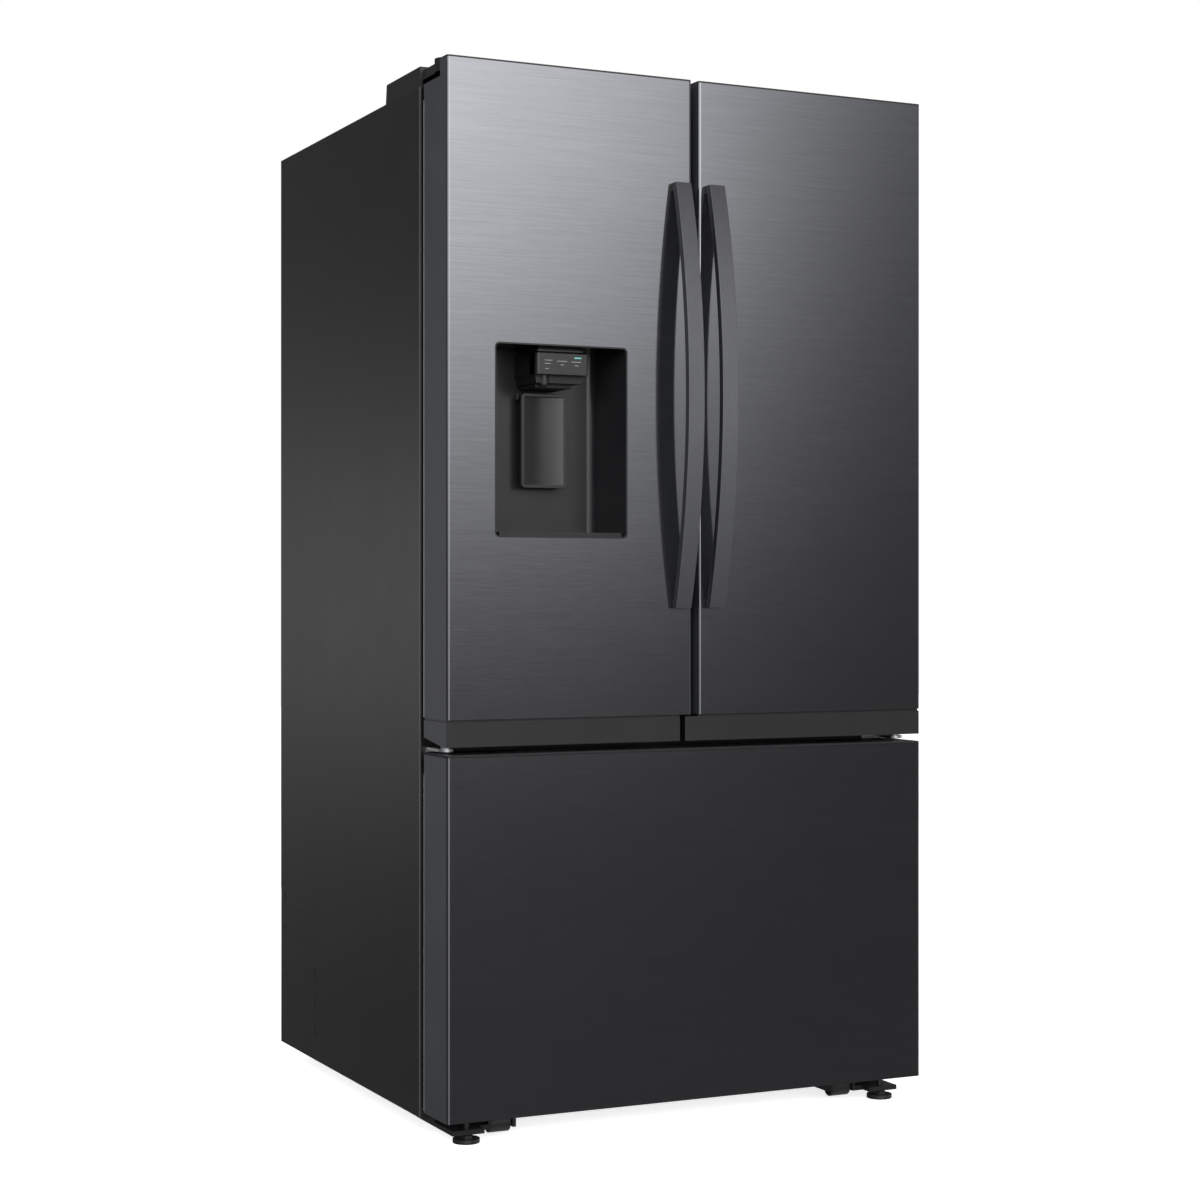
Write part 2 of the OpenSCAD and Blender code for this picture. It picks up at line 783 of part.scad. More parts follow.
module dispenser_housing() {
    color("#333538") {
        difference() {
            intersection() {
                niche_block(niche_wall);
                slab(-half, half, 0, niche_deep + niche_wall, niche_low - 5, niche_high + 5);
            }
            intersection() {
                translate([0, 0, niche_low]) linear_extrude(height = niche_high - niche_low)
                    niche_plan();
                niche_block(0);
            }
        }
        // ears that hold the paddle pins
        both_ears() difference() {
            slab(paddle_x - paddle_half - 4.5, paddle_x - paddle_half - 0.7, paddle_pin_d - 6,
                niche_deep + 1, paddle_pin_z - 5, paddle_pin_z + 6);
            bar_x(paddle_x - paddle_half - 6, paddle_x - paddle_half + 1, paddle_pin_d,
                paddle_pin_z, 2.5 + run);
        }
    }
}

// The children and their mirror image across the middle of the paddle.
module both_ears() {
    children();
    translate([2 * paddle_x, 0, 0]) mirror([1, 0, 0]) children();
}

// Display face on a block whose lower right-hand edge is cut back, with a brow above it.
module dispenser_panel() {
    block_low = 1254;
    plate_low = 1247;
    x0 = head_x - head_half;
    x1 = head_x + head_half;
    color("#7b7e80") difference() {
        union() {
            slab(x0, x1, head_face, niche_deep, head_low, head_high);
            slab(x0 + 2, x1 - 4, head_face + 4, niche_deep, niche_high - 8, niche_high - 5);
            slab(x0 + 8, x1 - 8, head_face + 14, niche_deep, head_high - 1, niche_high);
            translate([0, front + niche_deep, 0]) rotate([90, 0, 0])
                linear_extrude(height = niche_deep - head_face - 12)
                polygon([[x0 + 2, head_low + 1], [x0 + 4, block_low], [x1 - 9, block_low],
                    [x1 - 1, head_low - 2], [x1 - 1, head_low + 1]]);
            slab(x0 + 8, x1 - 20, head_face + 24, niche_deep, plate_low, block_low + 1);
        }
        post(nozzle_x, nozzle_d, plate_low - 1, 1275, nozzle_r);
    }
}

module dispenser_nozzle() {
    color("#55585b") difference() {
        union() {
            post(nozzle_x, nozzle_d, 1252, 1275, nozzle_r);
            post(nozzle_x, nozzle_d, 1250, 1254, nozzle_r - 1.6);
        }
        post(nozzle_x, nozzle_d, 1249, 1272, 5);
    }
}

module dispenser_paddle() {
    x0 = paddle_x - paddle_half;
    x1 = paddle_x + paddle_half;
    color("#5f6265") {
        difference() {
            window(x0, x1, paddle_d, paddle_d + 8, 1082, 1241, 8);
            window(x0 + 5, x1 - 5, paddle_d - 1, paddle_d + 4, 1087, 1236, 5);
        }
        slab(x0 + 4, x1 - 4, paddle_d + 7, paddle_pin_d + 2, paddle_pin_z - 3,
            paddle_pin_z + 3);
        bar_x(x0 - 3.5, x1 + 3.5, paddle_pin_d, paddle_pin_z, 2.5);
    }
}

module drip_tray() {
    color("#2c2e30") difference() {
        intersection() {
            translate([0, 0, niche_low]) linear_extrude(height = 7) niche_plan();
            slab(niche_x0 + 7, niche_x1 - 7, 4, niche_deep - 8, niche_low, niche_low + 7);
        }
        slab(niche_x0 + 30, niche_x1 - 30, 12, niche_deep - 20, niche_low + 2, niche_low + 4.5);
        for (k = [0:11])
            slab(niche_x0 + 36 + 14 * k, niche_x0 + 44 + 14 * k, 14, niche_deep - 22,
                niche_low + 4, niche_low + 8);
    }
}

// ---------- drawer ----------

module drawer_skin() {
    color("#4b4d50") difference() {
        leaf(-half, half, 0, leaf_depth - steel, drawer_bottom, drawer_top - 4, edge_radius);
        leaf(-half + steel, half - steel, steel, leaf_depth, drawer_bottom - 1, drawer_top,
            edge_radius - steel);
    }
}

// Top of the drawer: a grip channel between a front rail and a rear rail, closed by two end
// blocks and a floor strip, each a moulding of its own with a hairline seam round it.
module drawer_cap() {
    inner_half = half - steel;
    plate_low = drawer_top - cap_plate;
    color("#3a3c3e") {
        leaf(-half, half, 0.6, grip_front, plate_low, drawer_top, edge_radius);
        leaf(-inner_half, inner_half, steel, grip_front, grip_low, plate_low, edge_radius);
        slab(-half, half, grip_back, leaf_depth, plate_low, drawer_top);
        slab(-inner_half, inner_half, grip_back, leaf_depth, grip_low, plate_low);
        both_sides() {
            slab(grip_half, inner_half, grip_front + seam, grip_back - seam, grip_low, drawer_top);
            slab(grip_half, half, grip_front + seam, grip_back - seam, plate_low, drawer_top);
        }
        slab(-grip_half + seam, grip_half - seam, grip_front + seam, grip_back - seam, grip_low,
            grip_low + grip_floor);
    }
}

// Insulated core of the drawer front, up to the underside of its cap.
module drawer_inner() {
    color("#eef0f1") {
        leaf(-half + steel, half - steel, steel, leaf_depth - steel, drawer_bottom + 2, grip_low,
            edge_radius);
        slab(-half, half, leaf_depth - steel, leaf_depth, drawer_bottom + 2, grip_low);
        ring(-400, 400, leaf_depth - 1, 124, 122, 590, 18);
    }
}

module drawer_gasket() {
    color("#8d9092") ring(-pivot_x, pivot_x, leaf_depth, face - 0.3, 74, 610, 20);
}

// Deep wire-look basket carried by the inner slide members.
module freezer_basket() {
    color("#dfe4e6") {
        difference() {
            tub(-375, 375, 140, 585, 136, 380, 3);
            for (k = [0:17]) slab(-352 + 40 * k, -328 + 40 * k, 100, 590, 180, 350);
            for (k = [0:8]) slab(-380, 380, 165 + 46 * k, 193 + 46 * k, 180, 350);
        }
        slab(-3, 3, 141, 584, 137, 294);
        // inner members of the slides and the brackets to the drawer front
        both_sides() {
            slab(-396, -374, 132, 590, 200, 218);
            slab(-380, -360, leaf_depth, 142, 190, 228);
        }
    }
}

// Fixed channels of the drawer slides.
module rails_fixed() {
    color("#a9adaf") both_sides() difference() {
        slab(-inner_half, -inner_half + 14, 124, 596, 192, 226);
        slab(-inner_half + 3, -inner_half + 15, 120, 600, 195, 223);
    }
}

// Middle members: they travel half as far as the basket.
module rails_middle() {
    color("#bfc3c5") both_sides() difference() {
        slab(-inner_half + 4, -inner_half + 26, 128, 592, 196, 222);
        slab(-inner_half + 12, -inner_half + 27, 120, 600, 199, 219);
    }
}

// Shallow tray that slides backwards and forwards on the rim of the basket.
module freezer_tray() {
    color("#d5e3e6") {
        tub(-368, 368, 148, 370, 302, 384, 3);
        both_sides() slab(-381, -366, 148, 370, 380.5, 384);
        slab(-120, 120, 144, 149, 366, 380);
    }
}

cabinet_shell();
cabinet_foam();
fridge_liner();
freezer_liner();
mullion_rail();
back_panel();
machine_cover();
base_frame();
top_hinges();
hinge_cover_left();
hinge_cover_right();
mid_hinges();
compressor();
condenser();
drain_pan();
evaporator();
evaporator_cover();
shelf_left();
shelf_right();
crisper_shelf();
light_lens();
water_filter();
rails_fixed();
foot_left();
foot_right();
front_rollers();
rear_rollers();
condenser_fan();
evaporator_fan();
crisper_left();
crisper_right();
pantry_drawer();
freezer_tray();
left_door_skin();
left_door_inner();
left_door_caps();
left_gasket();
left_handle();
dispenser_housing();
dispenser_panel();
dispenser_nozzle();
dispenser_paddle();
drip_tray();
flipper_mullion();
left_bin();
ice_maker();
right_door_skin();
right_door_inner();
right_door_caps();
right_gasket();
right_handle();
right_bin_upper();
right_bin_lower();
drawer_skin();
drawer_inner();
drawer_cap();
drawer_gasket();
freezer_basket();
rails_middle();
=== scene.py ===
"""Looks of a french door refrigerator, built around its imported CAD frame."""

import math

import bmesh
import bpy
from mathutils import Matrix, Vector

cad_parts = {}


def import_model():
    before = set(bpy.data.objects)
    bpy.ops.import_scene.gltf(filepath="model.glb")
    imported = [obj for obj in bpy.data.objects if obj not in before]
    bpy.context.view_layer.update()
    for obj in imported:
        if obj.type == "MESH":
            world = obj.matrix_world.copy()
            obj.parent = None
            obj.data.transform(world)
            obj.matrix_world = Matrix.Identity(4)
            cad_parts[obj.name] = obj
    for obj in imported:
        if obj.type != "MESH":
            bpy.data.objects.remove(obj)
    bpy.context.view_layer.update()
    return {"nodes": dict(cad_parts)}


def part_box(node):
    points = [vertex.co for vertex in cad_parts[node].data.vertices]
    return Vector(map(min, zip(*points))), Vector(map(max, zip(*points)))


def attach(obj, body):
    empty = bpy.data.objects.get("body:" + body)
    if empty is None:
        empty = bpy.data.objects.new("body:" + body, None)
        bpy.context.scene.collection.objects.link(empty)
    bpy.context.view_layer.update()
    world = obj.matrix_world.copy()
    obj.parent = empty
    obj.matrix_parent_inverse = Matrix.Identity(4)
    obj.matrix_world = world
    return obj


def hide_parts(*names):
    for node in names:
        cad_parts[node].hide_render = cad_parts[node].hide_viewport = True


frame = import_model()

MM = 0.001

# Taken from the CAD nodes.
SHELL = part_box("cabinet_shell")
LEFT_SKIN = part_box("left_door_skin")
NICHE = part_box("dispenser_housing")
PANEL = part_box("dispenser_panel")
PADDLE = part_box("dispenser_paddle")
FRONT_Y = LEFT_SKIN[0].y
HALF_WIDTH = SHELL[1].x
CASE_TOP = SHELL[1].z
DOOR_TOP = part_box("left_door_caps")[1].z

# Sheet, bends, walls and pockets, which have no node of their own.
SHEET = 1.5 * MM
EDGE_R = 5 * MM
NICHE_WALL = 2.5 * MM
NICHE_CORNER = 8.5 * MM
NICHE_SETBACK = 0.2 * MM
STRIP_TOP = LEFT_SKIN[0].z - 3.5 * MM
NOTCH_X = 46 * MM
NOTCH_D = 30 * MM
NOTCH_Z = CASE_TOP - 1 * MM

# Points within WELD count as one, CAD points and points on a plane within NEAR, and a cutter reaches
# PAST the face that it opens.
WELD = 1e-6
NEAR = 1e-5
PAST = 10 * MM


# ---------------------------------------------------------------- mesh helpers


def finish_mesh(bm, name, material, body, nodes=(), slot=None, smooth_angle=35):
    """A named object from bm that rides on body and stands for the CAD nodes."""
    bmesh.ops.remove_doubles(bm, verts=bm.verts, dist=WELD)
    bmesh.ops.recalc_face_normals(bm, faces=bm.faces)
    mesh = bpy.data.meshes.new(name)
    bm.to_mesh(mesh)
    bm.free()
    mesh.polygons.foreach_set("use_smooth", [True] * len(mesh.polygons))
    mesh.set_sharp_from_angle(angle=math.radians(smooth_angle))
    obj = bpy.data.objects.new(name, mesh)
    bpy.context.scene.collection.objects.link(obj)
    for m in material if isinstance(material, (list, tuple)) else [material]:
        mesh.materials.append(m)
    flat = obj.modifiers.new("flat_faces_stay_flat", "WEIGHTED_NORMAL")
    flat.keep_sharp = True
    flat.weight = 100
    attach(obj, body)
    if nodes:
        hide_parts(*nodes)
    return obj


def add_box(bm, lo, hi, mat=0):
    """A box between two corners."""
    made = bmesh.ops.create_cube(bm, size=1)["verts"]
    for v in made:
        for i in range(3):
            v.co[i] = lo[i] if v.co[i] < 0 else hi[i]
    for f in {f for v in made for f in v.link_faces}:
        f.material_index = mat
    return made


def add_prism(bm, outline, axis, low, high, mat=0):
    """The outline (2D points in the other two axes, in order) pushed along axis from low to high."""
    return join_rings(bm, rings_from(bm, [outline, outline], axis, (low, high)), mat)


def join_rings(bm, rings, mat=0, caps=True):
    """Faces between rings of vertices, and over both ends."""
    made = []
    for low, high in zip(rings, rings[1:]):
        for i in range(len(low)):
            j = (i + 1) % len(low)
            made.append(bm.faces.new((low[i], low[j], high[j], high[i])))
    if caps:
        made.append(bm.faces.new(list(reversed(rings[0]))))
        made.append(bm.faces.new(rings[-1]))
    for f in made:
        f.material_index = mat
    return [v for r in rings for v in r]


def arc(centre_a, centre_b, radius, start, steps):
    """2D points on a quarter circle that begins at the angle start, in degrees."""
    points = []
    for k in range(steps + 1):
        t = math.radians(start + 90 * k / steps)
        points.append((centre_a + radius * math.cos(t), centre_b + radius * math.sin(t)))
    return points


def round_rect(a0, a1, b0, b1, radius, steps=5):
    """Corner-rounded rectangle as 2D points."""
    radius = min(radius, (a1 - a0) / 2 - WELD, (b1 - b0) / 2 - WELD)
    corners = [(a1 - radius, b1 - radius, 0), (a0 + radius, b1 - radius, 90),
               (a0 + radius, b0 + radius, 180), (a1 - radius, b0 + radius, 270)]
    points = []
    for corner_a, corner_b, start in corners:
        points += arc(corner_a, corner_b, radius, start, steps)
    return points


def rings_from(bm, outlines, axis, levels):
    """Rings of vertices: outline k lies at level k on the axis."""
    others = [i for i in range(3) if i != axis]
    rings = []
    for outline, level in zip(outlines, levels):
        ring = []
        for a, b in outline:
            co = [0, 0, 0]
            co[others[0]] = a
            co[others[1]] = b
            co[axis] = level
            ring.append(bm.verts.new(co))
        rings.append(ring)
    return rings


def add_soft_box(bm, lo, hi, radius, mat=0, steps=3):
    """A box with rounded edges all over."""
    part = bmesh.new()
    add_box(part, lo, hi)
    bmesh.ops.bevel(part, geom=part.edges[:], offset=radius, segments=steps, profile=0.5,
                    affect="EDGES", clamp_overlap=True)
    merge(bm, part, mat)


def merge(bm, part, mat=0):
    """Adds the faces of part to bm and frees part."""
    for f in part.faces:
        f.material_index = mat
    temp = bpy.data.meshes.new("temp")
    part.to_mesh(temp)
    part.free()
    bm.from_mesh(temp)
    bpy.data.meshes.remove(temp)


def bevel_sharp(bm, width, angle=40, steps=2, keep=None):
    """Bevels the edges sharper than angle, or only those of them for which keep(edge) is true."""
    limit = math.radians(angle)
    edges = [e for e in bm.edges if len(e.link_faces) == 2 and e.calc_face_angle(0) > limit]
    if keep:
        edges = [e for e in edges if keep(e)]
    bmesh.ops.bevel(bm, geom=edges, offset=width, segments=steps, profile=0.5,
                    affect="EDGES", clamp_overlap=True)


def intersect(bm, other):
    """The part of bm inside other, as a new bmesh."""
    return cut(bm, [other], "INTERSECT")


def cut(bm, cutters, operation="DIFFERENCE"):
    """Takes the cutters (bmeshes, freed afterwards) away from bm, or keeps what is inside them."""
    bmesh.ops.recalc_face_normals(bm, faces=bm.faces)
    mesh = bpy.data.meshes.new("cut_body")
    bm.to_mesh(mesh)
    body = bpy.data.objects.new("cut_body", mesh)
    bpy.context.scene.collection.objects.link(body)
    tools = []
    for part in cutters:
        tool_mesh = bpy.data.meshes.new("cut_tool")
        bmesh.ops.recalc_face_normals(part, faces=part.faces)
        part.to_mesh(tool_mesh)
        part.free()
        tool = bpy.data.objects.new("cut_tool", tool_mesh)
        bpy.context.scene.collection.objects.link(tool)
        mod = body.modifiers.new("cut", "BOOLEAN")
        mod.operation = operation
        mod.solver = "EXACT"
        mod.object = tool
        tools.append(tool)
    depsgraph = bpy.context.evaluated_depsgraph_get()
    result = body.evaluated_get(depsgraph).to_mesh()
    bm.clear()
    bm.from_mesh(result)
    body.evaluated_get(depsgraph).to_mesh_clear()
    for o in [body, *tools]:
        old = o.data
        bpy.data.objects.remove(o)
        bpy.data.meshes.remove(old)
    return bm


def box_bm(lo, hi):
    """A box between two corners, as a new bmesh."""
    part = bmesh.new()
    add_box(part, lo, hi)
    return part


def add_lathe(bm, profile, centre, axis=2, steps=48, mat=0):
    """Profile (radius, height) turned about the axis through centre."""
    a, b = (centre[i] for i in range(3) if i != axis)
    circles = []
    for radius, _ in profile:
        turns = [2 * math.pi * k / steps for k in range(steps)]
        circles.append([(a + radius * math.cos(t), b + radius * math.sin(t)) for t in turns])
    levels = [centre[axis] + height for _, height in profile]
    join_rings(bm, rings_from(bm, circles, axis, levels), mat)


def paint(bm, by_place):
    """Gives each face the material index that by_place(face) returns."""
    for face in bm.faces:
        face.material_index = by_place(face)


# ---------------------------------------------------------------- materials

WEAR_REACH = 0.8 * MM


def shader(name):
    """An empty node material: (material, node tree, Principled shader)."""
    mat = bpy.data.materials.new(name)
    mat.use_nodes = True
    tree = mat.node_tree
    return mat, tree, tree.nodes["Principled BSDF"]


def noise(tree, scale, stretch=(1, 1, 1), detail=4, rough=0.55):
    """Noise in object coordinates, stretched along the axes."""
    coord = tree.nodes.new("ShaderNodeTexCoord")
    mapping = tree.nodes.new("ShaderNodeMapping")
    mapping.inputs["Scale"].default_value = stretch
    tex = tree.nodes.new("ShaderNodeTexNoise")
    tex.inputs["Scale"].default_value = scale
    tex.inputs["Detail"].default_value = detail
    tex.inputs["Roughness"].default_value = rough
    tree.links.new(coord.outputs["Object"], mapping.inputs["Vector"])
    tree.links.new(mapping.outputs["Vector"], tex.inputs["Vector"])
    return tex.outputs["Fac"]


def colour(value):
    """RGBA from a grey value or an RGB triple."""
    if isinstance(value, (int, float)):
        return (value, value, value, 1)
    return (*value, 1)


def ramp(tree, source, low, high, start=0.3, end=0.7):
    """Colour or grey ramp driven by source."""
    node = tree.nodes.new("ShaderNodeValToRGB")
    node.color_ramp.elements[0].position = start
    node.color_ramp.elements[1].position = end
    node.color_ramp.elements[0].color = colour(low)
    node.color_ramp.elements[1].color = colour(high)
    tree.links.new(source, node.inputs["Fac"])
    return node.outputs["Color"]


def blend_colours(tree, mode, factor, a, b):
    """Mix node; factor, a and b are sockets or plain values."""
    mix = tree.nodes.new("ShaderNodeMix")
    mix.data_type = "RGBA"
    mix.blend_type = mode
    for socket, value in (("Factor", factor), ("A", a), ("B", b)):
        if isinstance(value, bpy.types.NodeSocket):
            tree.links.new(value, mix.inputs[socket])
        elif socket == "Factor":
            mix.inputs[socket].default_value = value
        else:
            mix.inputs[socket].default_value = colour(value)
    return mix.outputs["Result"]


def bump(tree, bsdf, source, strength, distance):
    """Bump on the shader's normal."""
    node = tree.nodes.new("ShaderNodeBump")
    node.inputs["Strength"].default_value = strength
    node.inputs["Distance"].default_value = distance
    tree.links.new(source, node.inputs["Height"])
    tree.links.new(node.outputs["Normal"], bsdf.inputs["Normal"])


def worn(tree, base, bright, amount):
    """The base colour, with slightly worn edges where the surface turns within WEAR_REACH."""
    rounded = tree.nodes.new("ShaderNodeBevel")
    rounded.samples = 4
    rounded.inputs["Radius"].default_value = WEAR_REACH
    geo = tree.nodes.new("ShaderNodeNewGeometry")
    turn = tree.nodes.new("ShaderNodeVectorMath")
    turn.operation = "DOT_PRODUCT"
    tree.links.new(rounded.outputs["Normal"], turn.inputs[0])
    tree.links.new(geo.outputs["Normal"], turn.inputs[1])
    edge = ramp(tree, turn.outputs["Value"], amount, 0, 0.80, 0.97)
    return blend_colours(tree, "MIX", edge, base, bright)


def lighter(value, factor, lift=0.0):
    """A lighter shade of an RGB triple."""
    return tuple(min(1, c * factor + lift) for c in value)


def brushed_steel(name, dark, light, roughness, anisotropy, grain_axis="x", metallic=1):
    """Steel brushed along one axis: reflections stay crisp along the grain and smear across it."""
    mat, tree, bsdf = shader(name)
    along, across = 1, 60
    stretch = (along, across, across) if grain_axis == "x" else (across, across, along)
    fine = noise(tree, 22, stretch, 3, 0.75)
    long_streaks = noise(tree, 6, stretch, 2, 0.5)
    cloud = noise(tree, 2.2, (1, 1, 3), 2, 0.5)
    base = ramp(tree, fine, dark, light, 0.25, 0.75)
    base = blend_colours(tree, "MULTIPLY", 1.0, base, ramp(tree, long_streaks, 0.9, 1.0))
    base = blend_colours(tree, "MULTIPLY", 1.0, base, ramp(tree, cloud, 0.96, 1.0))
    tree.links.new(worn(tree, base, lighter(light, 1.3), 0.3), bsdf.inputs["Base Color"])
    tree.links.new(ramp(tree, fine, roughness - 0.02, roughness + 0.02), bsdf.inputs["Roughness"])
    bump(tree, bsdf, fine, 0.06, 0.0002)
    bsdf.inputs["Metallic"].default_value = metallic
    bsdf.inputs["Anisotropic"].default_value = anisotropy
    bsdf.inputs["Anisotropic Rotation"].default_value = 0.25
    tangent = tree.nodes.new("ShaderNodeTangent")
    tangent.direction_type = "UV_MAP"
    tangent.uv_map = "brush"
    tree.links.new(tangent.outputs["Tangent"], bsdf.inputs["Tangent"])
    return mat


def follow(tree, value, low, high, stops):
    """Grey that follows a value running from low to high, through the stops (place 0 to 1, grey)."""
    place = tree.nodes.new("ShaderNodeMapRange")
    place.inputs["From Min"].default_value = low
    place.inputs["From Max"].default_value = high
    tree.links.new(value, place.inputs["Value"])
    node = tree.nodes.new("ShaderNodeValToRGB")
    points = node.color_ramp.elements
    while len(points) < len(stops):
        points.new(0.5)
    for point, (position, grey) in zip(points, stops):
        point.position = position
        point.color = colour(grey)
    tree.links.new(place.outputs[0], node.inputs["Fac"])
    return node.outputs["Color"]


def shade_bar_ends(mat, box):
    """Painted shade on a long upright bar: its colour deepens towards both ends of the box and is lightest a
    little below the middle.
    """
    tree = mat.node_tree
    target = tree.nodes["Principled BSDF"].inputs["Base Color"]
    base = target.links[0].from_socket
    coord = tree.nodes.new("ShaderNodeTexCoord")
    split = tree.nodes.new("ShaderNodeSeparateXYZ")
    tree.links.new(coord.outputs["Object"], split.inputs[0])
    shade = follow(tree, split.outputs["Z"], box[0].z, box[1].z,
                   [(0, 0.5), (0.45, 1), (0.7, 0.9), (1, 0.42)])
    tree.links.new(blend_colours(tree, "MULTIPLY", 1.0, base, shade), target)


def coated(name, dark, light, roughness, grain=900, strength=0.1, metallic=0.0, coat=0.0):
    """Paint or moulded plastic: mottled colour, fine texture, edges a little worn."""
    mat, tree, bsdf = shader(name)
    cloud = noise(tree, 9, (1, 1, 1), 5, 0.6)
    base = ramp(tree, cloud, dark, light)
    tree.links.new(worn(tree, base, lighter(light, 1.6, 0.01), 0.6), bsdf.inputs["Base Color"])
    tree.links.new(ramp(tree, cloud, roughness - 0.015, roughness + 0.015), bsdf.inputs["Roughness"])
    bump(tree, bsdf, noise(tree, grain, (1, 1, 1), 2, 0.5), strength, 0.0003)
    bsdf.inputs["Metallic"].default_value = metallic
    bsdf.inputs["Coat Weight"].default_value = coat
    return mat


def clear(name, tint, roughness=0.06, alpha=0.45):
    """Clear moulded plastic or glass with a faint haze."""
    mat, tree, bsdf = shader(name)
    haze = noise(tree, 14, (1, 1, 1), 4, 0.6)
    tree.links.new(ramp(tree, haze, tint, lighter(tint, 1.04)), bsdf.inputs["Base Color"])
    tree.links.new(ramp(tree, haze, roughness, roughness + 0.06), bsdf.inputs["Roughness"])
    bump(tree, bsdf, noise(tree, 60, (1, 1, 1), 2, 0.5), 0.03, 0.0004)
    bsdf.inputs["Alpha"].default_value = alpha
    bsdf.inputs["IOR"].default_value = 1.49
    return mat


def lamp_material():
    """Small lit bar on the display."""
    mat, tree, bsdf = shader("display_lamp")
    tree.links.new(ramp(tree, noise(tree, 400), (0.10, 0.36, 0.34), (0.16, 0.48, 0.45)),
                   bsdf.inputs["Base Color"])
    bsdf.inputs["Emission Color"].default_value = (0.12, 0.42, 0.40, 1)
    bsdf.inputs["Emission Strength"].default_value = 0.35
    return mat


def brush_uv(obj):
    """Adds a UV map whose u runs along x (or y on faces that look along x), for the brushed grain."""
    mesh = obj.data
    layer = mesh.uv_layers.new(name="brush")
    for poly in mesh.polygons:
        n = poly.normal
        for i in poly.loop_indices:
            co = mesh.vertices[mesh.loops[i].vertex_index].co
            u = co.y if abs(n.x) > abs(n.y) else co.x
            v = co.z if abs(n.z) < 0.8 else co.y
            layer.data[i].uv = (u, v)


STEEL = brushed_steel("door_brushed_steel", (0.185, 0.1885, 0.203), (0.235, 0.2395, 0.257), 0.12, 0.85)
BAR_STEEL = brushed_steel("handle_satin_steel", (0.092, 0.094, 0.101), (0.123, 0.125, 0.134), 0.42, 0.3,
                          "z", 0.12)
# Painted shade on the handle steel: darker towards the top and bottom of the bar.
shade_bar_ends(BAR_STEEL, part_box("left_handle"))
# Near-white back and near-black sides of the handle: painted light for the bar's mirror image in the door,
# and painted shade on its sides.
BAR_BACK_LIGHT = coated("handle_back_painted_light", (0.80, 0.81, 0.83), (0.86, 0.87, 0.89), 0.5, 300, 0.06)
BAR_SIDE_SHADE = coated("handle_side_painted_shade", (0.009, 0.0095, 0.0105), (0.013, 0.0135, 0.015), 0.4)
DOOR_SIDE = coated("door_side_paint", (0.044, 0.047, 0.054), (0.056, 0.059, 0.067), 0.36)
CASE = coated("case_paint", (0.0060, 0.0067, 0.0070), (0.0090, 0.0098, 0.0102), 0.26, 700, 0.08)
# Lighter copy of the case paint: a painted highlight along the front edge of each side.
CASE_EDGE_HIGHLIGHT = coated("case_edge_painted_highlight", (0.070, 0.073, 0.077), (0.090, 0.093, 0.097), 0.36, 700, 0.08)
STRIP = coated("strip_plastic", (0.0085, 0.0088, 0.0098), (0.0115, 0.0119, 0.0131), 0.4, 1100, 0.12)
HINGE_PLASTIC = coated("hinge_cover_plastic", (0.010, 0.011, 0.0115), (0.014, 0.015, 0.0155), 0.42, 1000)
BLACK = coated("black_plastic", (0.004, 0.004, 0.0045), (0.007, 0.007, 0.0075), 0.5, 900, 0.1)
RUBBER = coated("gasket_rubber", (0.008, 0.008, 0.009), (0.014, 0.014, 0.015), 0.6, 300, 0.2)
NICHE_PLASTIC = coated("niche_plastic", (0.0140, 0.0146, 0.0160), (0.0190, 0.0196, 0.0212), 0.26, 1300,
                       0.05)
PADDLE_PLASTIC = coated("paddle_plastic", (0.0190, 0.0195, 0.0210), (0.0245, 0.0250, 0.0265), 0.18, 1300,
                        0.04)
DISPLAY = coated("display_face", (0.0175, 0.0180, 0.0195), (0.0235, 0.0240, 0.0255), 0.2, 1500, 0.03)
MARKS = coated("key_marks", (0.24, 0.24, 0.24), (0.32, 0.32, 0.32), 0.5, 1500, 0.03)
ZINC = coated("zinc_steel", (0.50, 0.51, 0.52), (0.66, 0.67, 0.69), 0.3, 120, 0.05, metallic=1.0)
FOOT = coated("foot_plastic", (0.008, 0.008, 0.009), (0.014, 0.014, 0.015), 0.42, 500, 0.2)
CHASSIS = coated("chassis_steel", (0.010, 0.010, 0.011), (0.018, 0.018, 0.019), 0.4, 160, 0.08,
                 metallic=0.3)
WHITE = coated("white_liner", (0.745, 0.755, 0.76), (0.785, 0.795, 0.80), 0.3, 260, 0.06, coat=0.2)
FOAM = coated("insulation_foam", (0.55, 0.50, 0.36), (0.66, 0.61, 0.46), 0.9, 220, 0.5)
SHEET_STEEL = coated("back_sheet_steel", (0.40, 0.41, 0.42), (0.50, 0.51, 0.52), 0.42, 60, 0.08,
                     metallic=0.9)
COIL = coated("coil_aluminium", (0.55, 0.56, 0.57), (0.72, 0.73, 0.74), 0.35, 300, 0.1, metallic=1.0)
MOTOR = coated("motor_enamel", (0.010, 0.010, 0.011), (0.018, 0.018, 0.019), 0.25, 90, 0.1, coat=0.4)
FAN = coated("fan_plastic", (0.20, 0.21, 0.215), (0.27, 0.28, 0.285), 0.45, 500, 0.08)
LENS = coated("lamp_lens", (0.84, 0.85, 0.82), (0.92, 0.93, 0.90), 0.28, 600, 0.06)
BIN = clear("clear_bin_plastic", (0.78, 0.86, 0.88), 0.08, 0.42)
GLASS = clear("shelf_glass", (0.62, 0.80, 0.76), 0.05, 0.40)
LAMP = lamp_material()


# ---------------------------------------------------------------- pieces from CAD nodes


def dress(node, material):
    """A CAD node that is kept as it is, with a better material."""
    obj = frame["nodes"][node]
    for material_slot in obj.material_slots:
        material_slot.material = material
    if not obj.material_slots:
        obj.data.materials.append(material)


